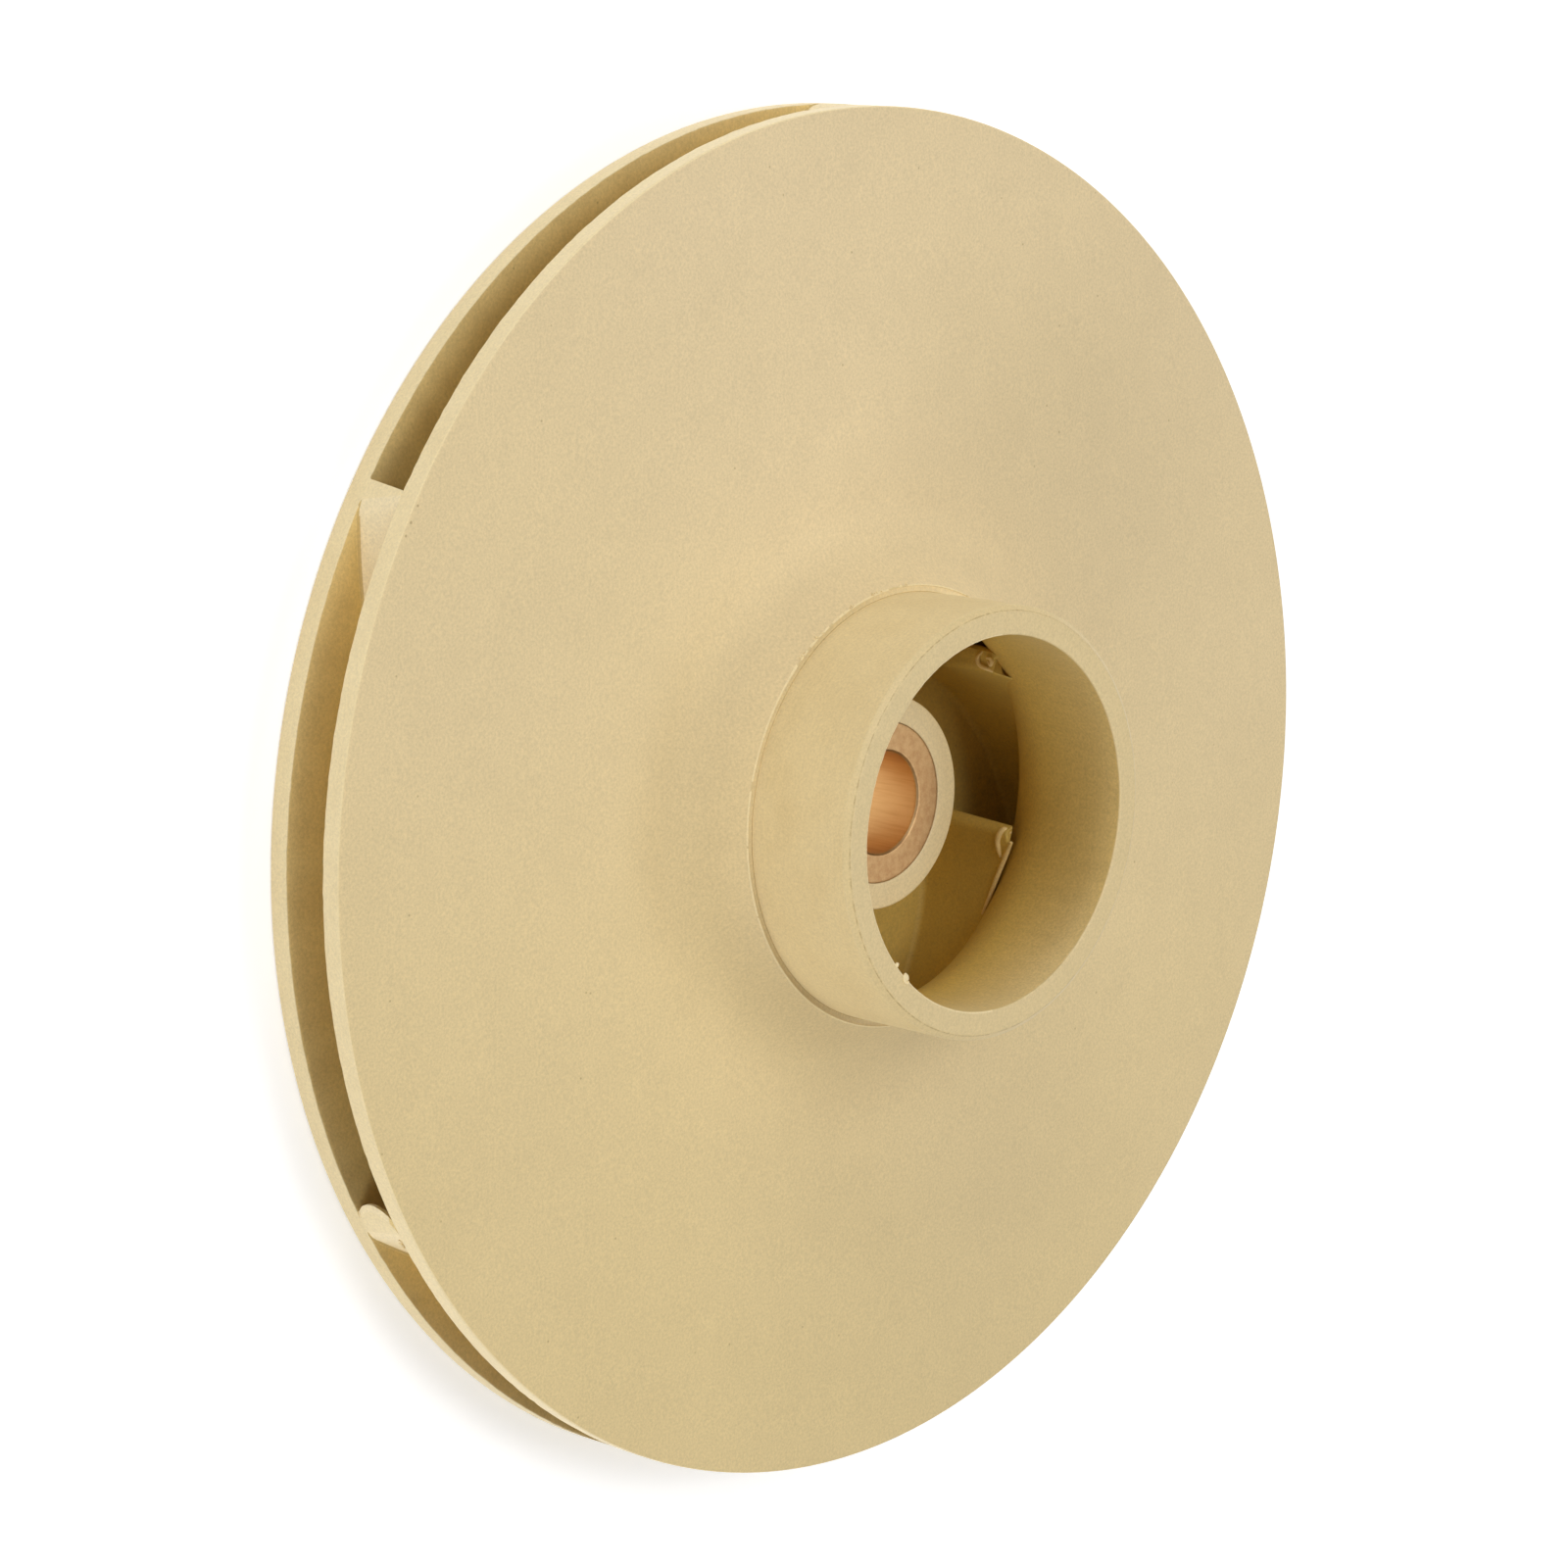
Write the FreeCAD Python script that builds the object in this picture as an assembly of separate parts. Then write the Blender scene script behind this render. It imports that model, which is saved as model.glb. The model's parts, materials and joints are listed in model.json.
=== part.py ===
import FreeCAD
import Part

import math
import os

from FreeCAD import Vector

# Closed pump impeller, moulded in two plastic halves around a turned bush.
# It stands on its back: the axis is Z, the back face is at Z = 0 and the eye opens upwards.
# Lengths are in millimetres and angles in degrees.

# Bush, bored for the pump's shaft
bore_diameter = 12.0
bore_chamfer = 0.25
bush_wall = 3.5

# Back half: disc, and hub around the bush
outer_diameter = 160.0
rim_edge_radius = 0.3
back_wall = 2.7
hub_wall = 3.1
hub_rise = 11.5
hub_foot_radius = 4.0
hub_edge_radius = 0.4

# Outlet between the two discs, measured at the rim
outlet_width = 5.9

# Front half: disc, neck and eye collar
front_wall = 2.5
front_face_slope = 2.0
passage_roof_slope = 2.2
neck_radius = 12.8
shoulder_rise = 6.4
shoulder_step = 0.9
collar_diameter = 50.0
collar_length = 14.5
collar_wall = 3.4
collar_chamfer_width = 0.7
collar_chamfer_height = 0.5
eye_draft = 2.4
eye_edge_radius = 0.3
throat_radius = 10.0

# Vanes: one spiral of constant angle, thinner at the top by the mould's draft
vane_count = 6
vane_angle = 29.3
vane_thickness = 2.0
vane_draft = 1.0
vane_foot_radius = 0.7
nose_inset = 0.1
weld_land_setback = 4.4
inlet_relief_slope = 39.0

# Fineness of the vane's spiral, and how far it runs past the rim before it is cut off
spiral_points = 14
spiral_overrun = 1.03

# Sizes that follow from the ones above
bore_radius = bore_diameter / 2
bush_radius = bore_radius + bush_wall
hub_radius = bush_radius + hub_wall
hub_face_height = back_wall + hub_rise
outer_radius = outer_diameter / 2
roof_rim_height = back_wall + outlet_width
front_rim_height = roof_rim_height + front_wall
shoulder_height = front_rim_height + shoulder_rise
overall_height = shoulder_height + collar_length
collar_radius = collar_diameter / 2
shoulder_radius = collar_radius + shoulder_step
eye_radius = collar_radius - collar_wall
nose_radius = eye_radius - nose_inset
weld_land_radius = eye_radius + weld_land_setback


def place(radius, height):
    """A point of a half section: distance from the axis and height."""
    return Vector(radius, 0, height)


def meet(start, start_direction, end, end_direction):
    """The point where two lines of the half section cross."""
    cross = start_direction.x * end_direction.z - start_direction.z * end_direction.x
    gap = end - start
    along = (gap.x * end_direction.z - gap.z * end_direction.x) / cross
    return start + start_direction * along


def rounded_corner(before, corner, after, radius):
    """The start, middle and end of the arc that rounds a corner of a section."""
    back = (before - corner).normalize()
    ahead = (after - corner).normalize()
    half_angle = math.acos(max(-1.0, min(1.0, back.dot(ahead)))) / 2
    reach = radius / math.tan(half_angle)
    bisector = (back + ahead).normalize()
    centre = corner + bisector * (radius / math.sin(half_angle))
    return corner + back * reach, centre - bisector * radius, corner + ahead * reach


def section_face(corners):
    """A face from section corners, each a point with the radius that rounds it."""
    edges = []
    ends = []
    count = len(corners)
    for index, (point, radius) in enumerate(corners):
        if radius == 0:
            ends.append((point, point))
            continue
        before = corners[index - 1][0]
        after = corners[(index + 1) % count][0]
        start, middle, end = rounded_corner(before, point, after, radius)
        edges.append(Part.Arc(start, middle, end).toShape())
        ends.append((start, end))
    for index in range(count):
        start = ends[index][1]
        end = ends[(index + 1) % count][0]
        edges.append(Part.LineSegment(start, end).toShape())
    return Part.Face(Part.Wire(Part.__sortEdges__(edges)))


def turned(face):
    """The solid that a half section sweeps around the axis."""
    return face.revolve(Vector(0, 0, 0), Vector(0, 0, 1), 360)


def roof_line():
    """The start and direction, inwards, of the front disc's straight underside."""
    slope = math.radians(passage_roof_slope)
    return place(outer_radius, roof_rim_height), Vector(-math.cos(slope), 0, math.sin(slope))


def eye_line():
    """The start and direction, downwards, of the eye's drafted wall."""
    draft = math.radians(eye_draft)
    return place(eye_radius, overall_height), Vector(math.sin(draft), 0, -math.cos(draft))


def throat_arc():
    """The arc that turns the eye's wall into the passage roof, from the eye outwards."""
    rim, inward = roof_line()
    mouth, downward = eye_line()
    corner = meet(mouth, downward, rim, inward)
    return rounded_corner(mouth, corner, rim, throat_radius)


def arc_points(centre, radius, start, end):
    """The start, middle and end of the short arc between two points of a circle."""
    middle = (start - centre).normalize() + (end - centre).normalize()
    return start, centre + middle.normalize() * radius, end


def neck_arc():
    """The arc from the front face, where it is tangent, up to the shoulder's edge."""
    slope = math.radians(front_face_slope)
    rim = place(outer_radius, front_rim_height)
    inward = Vector(-math.cos(slope), 0, math.sin(slope))
    upward = Vector(math.sin(slope), 0, math.cos(slope))
    shoulder = place(shoulder_radius, shoulder_height)
    offset = shoulder - rim - upward * neck_radius
    along = inward.dot(offset)
    reach = along - math.sqrt(along ** 2 - offset.dot(offset) + neck_radius ** 2)
    foot = rim + inward * reach
    return arc_points(foot + upward * neck_radius, neck_radius, foot, shoulder)


def front_shroud():
    """Front disc, concave neck, turned collar and eye, as one moulding."""
    neck_foot, neck_middle, shoulder = neck_arc()
    eye_end, throat_middle, roof_start = throat_arc()
    rim_face = place(outer_radius, front_rim_height)
    rim_roof = place(outer_radius, roof_rim_height)
    rim_start, rim_middle, rim_end = rounded_corner(rim_roof, rim_face, neck_foot, rim_edge_radius)
    collar_foot = place(collar_radius, shoulder_height)
    chamfer_foot = place(collar_radius, overall_height - collar_chamfer_height)
    chamfer_top = place(collar_radius - collar_chamfer_width, overall_height)
    mouth = place(eye_radius, overall_height)
    lip_start, lip_middle, lip_end = rounded_corner(chamfer_top, mouth, eye_end, eye_edge_radius)
    edges = [
        Part.LineSegment(rim_roof, rim_start),
        Part.Arc(rim_start, rim_middle, rim_end),
        Part.LineSegment(rim_end, neck_foot),
        Part.Arc(neck_foot, neck_middle, shoulder),
        Part.LineSegment(shoulder, collar_foot),
        Part.LineSegment(collar_foot, chamfer_foot),
        Part.LineSegment(chamfer_foot, chamfer_top),
        Part.LineSegment(chamfer_top, lip_start),
        Part.Arc(lip_start, lip_middle, lip_end),
        Part.LineSegment(lip_end, eye_end),
        Part.Arc(eye_end, throat_middle, roof_start),
        Part.LineSegment(roof_start, rim_roof),
    ]
    return turned(Part.Face(Part.Wire([edge.toShape() for edge in edges])))


def disc_and_hub():
    """Back disc with the hub that stands on it, bored for the bush."""
    corners = [
        (place(bush_radius, 0), 0),
        (place(outer_radius, 0), rim_edge_radius),
        (place(outer_radius, back_wall), 0),
        (place(hub_radius, back_wall), hub_foot_radius),
        (place(hub_radius, hub_face_height), hub_edge_radius),
        (place(bush_radius, hub_face_height), 0),
    ]
    return turned(section_face(corners))


def spiral_frame(radius):
    """A point of the vane's centre line, its outward heading and its outer normal."""
    angle = math.radians(vane_angle)
    turn = math.log(outer_radius / radius) / math.tan(angle)
    radial = Vector(math.cos(turn), math.sin(turn), 0)
    around = Vector(-math.sin(turn), math.cos(turn), 0)
    heading = radial * math.sin(angle) - around * math.cos(angle)
    normal = radial * math.cos(angle) + around * math.sin(angle)
    return radial * radius, heading, normal


def vane_outline(height):
    """The closed outline of one vane at a height, with a round nose."""
    draft = math.tan(math.radians(vane_draft))
    half = vane_thickness / 2 + (roof_rim_height - height) * draft
    level = Vector(0, 0, height)
    growth = (outer_radius * spiral_overrun / nose_radius) ** (1 / (spiral_points - 1))
    frames = [spiral_frame(nose_radius * growth ** step) for step in range(spiral_points)]
    inner = [point - normal * half + level for point, heading, normal in frames]
    outer = [point + normal * half + level for point, heading, normal in frames]
    nose_point, nose_heading, nose_normal = frames[0]
    nose = nose_point - nose_heading * half + level
    inner_side = Part.BSplineCurve()
    inner_side.interpolate(inner)
    outer_side = Part.BSplineCurve()
    outer_side.interpolate(outer)
    return Part.Wire([
        inner_side.toShape(),
        Part.LineSegment(inner[-1], outer[-1]).toShape(),
        outer_side.toShape(),
        Part.Arc(outer[0], nose, inner[0]).toShape(),
    ])


def vane_space():
    """The space the vanes fill: from within the back disc up to the passage roof."""
    eye_end, throat_middle, roof_start = throat_arc()
    centre = Part.Arc(eye_end, throat_middle, roof_start).toShape().Curve.Center
    land_drop = math.sqrt(throat_radius ** 2 - (centre.x - weld_land_radius) ** 2)
    land = place(weld_land_radius, centre.z - land_drop)
    inner_radius = (hub_radius + nose_radius) / 2
    relief_rise = (land.x - inner_radius) * math.tan(math.radians(inlet_relief_slope))
    floor = back_wall / 2
    relief_end = place(inner_radius, land.z + relief_rise)
    edges = [
        Part.LineSegment(place(inner_radius, floor), place(outer_radius, floor)),
        Part.LineSegment(place(outer_radius, floor), place(outer_radius, roof_rim_height)),
        Part.LineSegment(place(outer_radius, roof_rim_height), roof_start),
        Part.Arc(*arc_points(centre, throat_radius, roof_start, land)),
        Part.LineSegment(land, relief_end),
        Part.LineSegment(relief_end, place(inner_radius, floor)),
    ]
    return turned(Part.Face(Part.Wire([edge.toShape() for edge in edges])))


def vane():
    """One vane, cut off flush with the rim and shaped on top to meet the front disc."""
    outlines = [vane_outline(back_wall / 2), vane_outline(overall_height)]
    return Part.makeLoft(outlines, True, True).common(vane_space())


def foot_edges(shape):
    """The edges where the vanes' sides stand on the back disc."""
    found = []
    for edge in shape.Edges:
        box = edge.BoundBox
        level = abs(box.ZMin - back_wall) < 1e-6 and abs(box.ZMax - back_wall) < 1e-6
        circle = isinstance(edge.Curve, Part.Circle) and edge.Curve.Center.Length < back_wall + 1e-6
        if level and not circle:
            found.append(edge)
    return found


def back_shroud():
    """Back disc, hub and all vanes, as one moulding."""
    blade = vane()
    blades = []
    for index in range(vane_count):
        copy = blade.copy()
        copy.rotate(Vector(0, 0, 0), Vector(0, 0, 1), index * 360 / vane_count)
        blades.append(copy)
    body = disc_and_hub().fuse(blades).removeSplitter()
    return body.makeFillet(vane_foot_radius, foot_edges(body))


def hub_bush():
    """Turned bush through the hub, flush with its face and with the back."""
    corners = [
        (place(bore_radius + bore_chamfer, 0), 0),
        (place(bush_radius, 0), 0),
        (place(bush_radius, hub_face_height), 0),
        (place(bore_radius + bore_chamfer, hub_face_height), 0),
        (place(bore_radius, hub_face_height - bore_chamfer), 0),
        (place(bore_radius, bore_chamfer), 0),
    ]
    return turned(section_face(corners))


def main():
    """Build each piece and write it under its own name."""
    os.makedirs("parts", exist_ok=True)
    pieces = {
        "back_shroud": back_shroud(),
        "front_shroud": front_shroud(),
        "hub_bush": hub_bush(),
    }
    for name, shape in pieces.items():
        shape.exportStep("parts/" + name + ".step")
        print(name, "valid", shape.isValid(), "solids", len(shape.Solids), "volume", round(shape.Volume, 1))


main()
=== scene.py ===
"""The looks of a closed pump impeller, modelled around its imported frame.

The impeller is two mouldings of a sand-coloured filled plastic: a front half with the neck and the
turned eye collar, and a back half with the hub and the vanes, which are welded to the front half.
A turned bronze bush is moulded into the hub. It stands on its back, with the axis along Z.
"""

import json
import logging
import math
import random
from dataclasses import dataclass, replace
from enum import Enum
from typing import Callable, Sequence

import bmesh
import bpy
from mathutils import Matrix, Vector, noise

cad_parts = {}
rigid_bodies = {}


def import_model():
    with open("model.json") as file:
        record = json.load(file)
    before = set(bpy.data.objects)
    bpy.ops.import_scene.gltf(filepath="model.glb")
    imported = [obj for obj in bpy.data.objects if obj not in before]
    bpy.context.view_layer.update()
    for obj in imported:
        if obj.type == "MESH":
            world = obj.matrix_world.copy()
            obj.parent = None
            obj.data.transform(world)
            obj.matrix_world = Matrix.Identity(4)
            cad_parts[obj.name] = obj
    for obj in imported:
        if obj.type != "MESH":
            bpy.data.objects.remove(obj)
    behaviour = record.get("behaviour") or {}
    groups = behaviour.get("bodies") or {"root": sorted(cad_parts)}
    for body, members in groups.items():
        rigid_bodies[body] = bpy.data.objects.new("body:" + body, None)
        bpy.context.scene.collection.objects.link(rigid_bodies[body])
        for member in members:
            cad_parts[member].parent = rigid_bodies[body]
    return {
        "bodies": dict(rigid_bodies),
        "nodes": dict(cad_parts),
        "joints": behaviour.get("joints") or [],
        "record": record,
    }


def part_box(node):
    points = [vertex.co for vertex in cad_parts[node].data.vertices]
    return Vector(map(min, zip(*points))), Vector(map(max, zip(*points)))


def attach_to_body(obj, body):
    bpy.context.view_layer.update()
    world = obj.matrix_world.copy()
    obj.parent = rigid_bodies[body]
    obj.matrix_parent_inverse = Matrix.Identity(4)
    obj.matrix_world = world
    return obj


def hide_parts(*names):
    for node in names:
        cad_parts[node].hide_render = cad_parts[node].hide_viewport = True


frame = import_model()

MM = 0.001
FULL_TURN = 2 * math.pi
PLASTIC_SLOT = "moulded_plastic"
BRONZE_SLOT = "bush_bronze"
NOISE_SEED = 5

log = logging.getLogger("impeller")


class Zone(Enum):
    """Which finish, painted light and painted shade included, a face of a moulding takes; the value is its
    place in the material list.
    """

    MOULDED = 0
    TURNED = 1
    # Painted shade on the water's side, with painted light towards the mouths.
    INNER = 2
    # Painted light: paler turned plastic on the rims, and painted highlights on edges.
    RIM = 3
    # Painted shade inside the eye.
    EYE = 4
    COLLAR = 5
    # Painted light on the vanes' flanks near their tips.
    TIP = 6
    # Painted shade on the vanes' foot fillets near the rim.
    FOOT = 7


def linear(red: float, green: float, blue: float) -> tuple[float, float, float, float]:
    """Turn a colour seen on screen into the renderer's linear one.

    Args:
        red: Red, from 0 to 255.
        green: Green, from 0 to 255.
        blue: Blue, from 0 to 255.

    Returns:
        Linear red, green and blue with an alpha of 1.
    """
    def channel(value: float) -> float:
        """One channel in linear light."""
        share = value / 255
        return share / 12.92 if share <= 0.04045 else ((share + 0.055) / 1.055) ** 2.4

    return channel(red), channel(green), channel(blue), 1.0


def place(radius: float, height: float) -> Vector:
    """A point of a half section, in the XZ plane."""
    return Vector((radius, 0.0, height))


def polar(radius: float, angle: float, height: float) -> Vector:
    """A point from its radius, its angle about Z in degrees, and its height."""
    turn = math.radians(angle)
    return Vector((radius * math.cos(turn), radius * math.sin(turn), height))


def meet(start: Vector, start_direction: Vector, end: Vector, end_direction: Vector) -> Vector:
    """Find where two lines of the half section cross.

    Args:
        start: A point of the first line.
        start_direction: The first line's direction.
        end: A point of the second line.
        end_direction: The second line's direction.

    Returns:
        The crossing point.
    """
    cross = start_direction.x * end_direction.z - start_direction.z * end_direction.x
    gap = end - start
    along = (gap.x * end_direction.z - gap.z * end_direction.x) / cross
    return start + start_direction * along


class Section:
    """A closed half section drawn in the XZ plane and turned about Z."""

    def __init__(self, start: Vector) -> None:
        """Start the outline at a point.

        Args:
            start: The point.
        """
        self.mesh = bmesh.new()
        self.first = self.mesh.verts.new(start)
        self.tip = self.first

    def straight_to(self, end: Vector, hold: float = 0.0, parts: int = 1) -> None:
        """Draw a straight run.

        Args:
            end: Where the run ends.
            hold: Distance from each end at which an extra point keeps the shading flat.
            parts: How many equal parts the run is cut into.
        """
        start = self.tip.co.copy()
        run = end - start
        shares = [step / parts for step in range(1, parts + 1)]
        if hold and run.length > 4 * hold:
            shares += [hold / run.length, 1 - hold / run.length]
        for share in sorted(set(shares)):
            made = bmesh.ops.extrude_vert_indiv(self.mesh, verts=[self.tip])
            self.tip = made["verts"][0]
            self.tip.co = start + run * share

    def arc(self, centre: Vector, angle: float, steps: int) -> None:
        """Draw an arc from the pen's place.

        Args:
            centre: The arc's centre.
            angle: How far it turns in radians, positive from X towards Z.
            steps: How many straight parts it has.
        """
        made = bmesh.ops.spin(
            self.mesh, geom=[self.tip], cent=centre, axis=(0, -1, 0), angle=angle, steps=steps
        )
        self.tip = next(part for part in made["geom_last"] if isinstance(part, bmesh.types.BMVert))

    def corner(self, corner: Vector, after: Vector, radius: float, steps: int, hold: float = 0.0) -> None:
        """Draw a straight run up to a corner and round the corner.

        Args:
            corner: The sharp corner.
            after: The point that the outline goes on to.
            radius: The radius that rounds the corner.
            steps: How many straight parts the arc has.
            hold: Distance of the holding points on the straight run.
        """
        back = (self.tip.co - corner).normalized()
        ahead = (after - corner).normalized()
        half_angle = back.angle(ahead) / 2
        reach = radius / math.tan(half_angle)
        centre = corner + (back + ahead).normalized() * (radius / math.sin(half_angle))
        self.straight_to(corner + back * reach, hold)
        side = -back.x * ahead.z + back.z * ahead.x
        self.arc(centre, math.copysign(math.pi - 2 * half_angle, side), steps)

    def turned(self, segments: int, hold: float = 0.0, parts: int = 1) -> bmesh.types.BMesh:
        """Close the outline and turn it a full round.

        Args:
            segments: How many steps the turn has.
            hold: Distance of the holding points on the closing run.
            parts: How many equal parts the closing run is cut into.

        Returns:
            The closed solid of revolution, with its faces pointing outwards.
        """
        self.straight_to(self.first.co.copy(), hold, parts)
        bmesh.ops.remove_doubles(self.mesh, verts=self.mesh.verts, dist=0.1 * MM * MM)
        bmesh.ops.spin(
            self.mesh,
            geom=self.mesh.verts[:] + self.mesh.edges[:],
            cent=(0, 0, 0),
            axis=(0, 0, 1),
            angle=FULL_TURN,
            steps=segments,
            use_merge=True,
        )
        bmesh.ops.recalc_face_normals(self.mesh, faces=self.mesh.faces)
        return self.mesh


def rope(path: Sequence[Vector], radii: Sequence[float], sides: int = 12) -> bmesh.types.BMesh:
    """Sweep a round section along a path, and close both ends.

    Args:
        path: The points of the centre line.
        radii: The section's radius at each point.
        sides: How many sides the section has.

    Returns:
        The closed rope.
    """
    mesh = bmesh.new()
    ahead = [(path[min(i + 1, len(path) - 1)] - path[max(i - 1, 0)]).normalized() for i in range(len(path))]
    turn = ahead[0].to_track_quat("Z", "X")
    frames = []
    for index, point in enumerate(path):
        if index:
            turn = ahead[index - 1].rotation_difference(ahead[index]) @ turn
        frames.append(Matrix.LocRotScale(point, turn, Vector((radii[index],) * 3)))
    made = bmesh.ops.create_circle(mesh, cap_ends=True, segments=sides, radius=1.0, matrix=frames[0])
    cap = made["verts"][0].link_faces[0]
    for before, after in zip(frames, frames[1:]):
        made = bmesh.ops.extrude_face_region(mesh, geom=[cap])
        cap = next(part for part in made["geom"] if isinstance(part, bmesh.types.BMFace))
        bmesh.ops.transform(mesh, matrix=after @ before.inverted(), verts=list(cap.verts))
    bmesh.ops.recalc_face_normals(mesh, faces=mesh.faces)
    return mesh


def smooth_path(points: Sequence[Vector], steps: int = 4) -> list[Vector]:
    """Round a path through its points.

    Args:
        points: The points that the path passes through.
        steps: How many parts each stretch is cut into.

    Returns:
        The points of the rounded path.
    """
    ends = [points[0] * 2 - points[1], *points, points[-1] * 2 - points[-2]]
    path = []
    for one, two, three, four in zip(ends, ends[1:], ends[2:], ends[3:]):
        for step in range(steps):
            t = step / steps
            bend = (three - one) * t + (one * 2 - two * 5 + three * 4 - four) * t ** 2
            path.append(two + (bend + (two * 3 - one - three * 3 + four) * t ** 3) / 2)
    return [*path, points[-1]]


def lump(centre: Vector, turn: Matrix, reach: Vector, waver: float = 0.0) -> bmesh.types.BMesh:
    """Make a rounded lump.

    Args:
        centre: Its middle.
        turn: The rotation of its axes.
        reach: Its half sizes along its axes.
        waver: How unevenly its surface swells, as a share of its size.

    Returns:
        The closed lump.
    """
    mesh = bmesh.new()
    bmesh.ops.create_icosphere(mesh, subdivisions=3, radius=1.0)
    for vert in mesh.verts:
        vert.co *= 1 + waver * noise.noise(vert.co * 1.7 + centre / MM)
    shape = Matrix.LocRotScale(centre, turn.to_quaternion(), reach)
    bmesh.ops.transform(mesh, matrix=shape, verts=mesh.verts)
    return mesh


def joined(parts: Sequence[bmesh.types.BMesh]) -> bmesh.types.BMesh:
    """Put several closed shapes into one mesh, and free them.

    Args:
        parts: The shapes.

    Returns:
        The one mesh.
    """
    whole = bmesh.new()
    for part in parts:
        data = bpy.data.meshes.new("part")
        part.to_mesh(data)
        part.free()
        whole.from_mesh(data)
        bpy.data.meshes.remove(data)
    return whole


def roughen(mesh: bmesh.types.BMesh, picked: Callable[[Vector], float], size: float) -> None:
    """Push the points of an edge about unevenly, in the same way at each run.

    Args:
        mesh: The shape.
        picked: Says how far a point may be pushed, or nothing for the points that stay.
        size: The width of the unevenness.
    """
    noise.seed_set(NOISE_SEED)
    for vert in mesh.verts:
        amount = picked(vert.co)
        if amount:
            vert.co += noise.noise_vector(vert.co / size) * amount


def finish_mesh(
    name: str,
    mesh: bmesh.types.BMesh,
    materials: Sequence[bpy.types.Material],
    zone_of: Callable[[Vector, Vector], Zone] | None = None,
    crease: float = 32.0,
) -> bpy.types.Object:
    """Turn a bmesh into a smooth-shaded object at the origin.

    Args:
        name: The object's name.
        mesh: The shape, which is freed.
        materials: The materials in the order of the zones.
        zone_of: Says which zone a face has, from its centre and its normal.
        crease: Edges that turn by more than this many degrees stay sharp.

    Returns:
        The new object, linked to the scene.
    """
    mesh.normal_update()
    limit = math.radians(crease)
    for face in mesh.faces:
        face.smooth = True
        if zone_of:
            face.material_index = zone_of(face.calc_center_median(), face.normal).value
    for edge in mesh.edges:
        edge.smooth = len(edge.link_faces) == 2 and edge.calc_face_angle() < limit
    data = bpy.data.meshes.new(name)
    mesh.to_mesh(data)
    mesh.free()
    for material in materials:
        data.materials.append(material)
    made = bpy.data.objects.new(name, data)
    bpy.context.scene.collection.objects.link(made)
    return made


def attach(piece: bpy.types.Object, slot: str, *nodes: str) -> None:
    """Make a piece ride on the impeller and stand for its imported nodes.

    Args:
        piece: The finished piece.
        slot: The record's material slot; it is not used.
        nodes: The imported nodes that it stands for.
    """
    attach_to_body(piece, "root")
    if nodes:
        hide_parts(*nodes)
    log.info("%s: %d faces", piece.name, len(piece.data.polygons))


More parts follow.
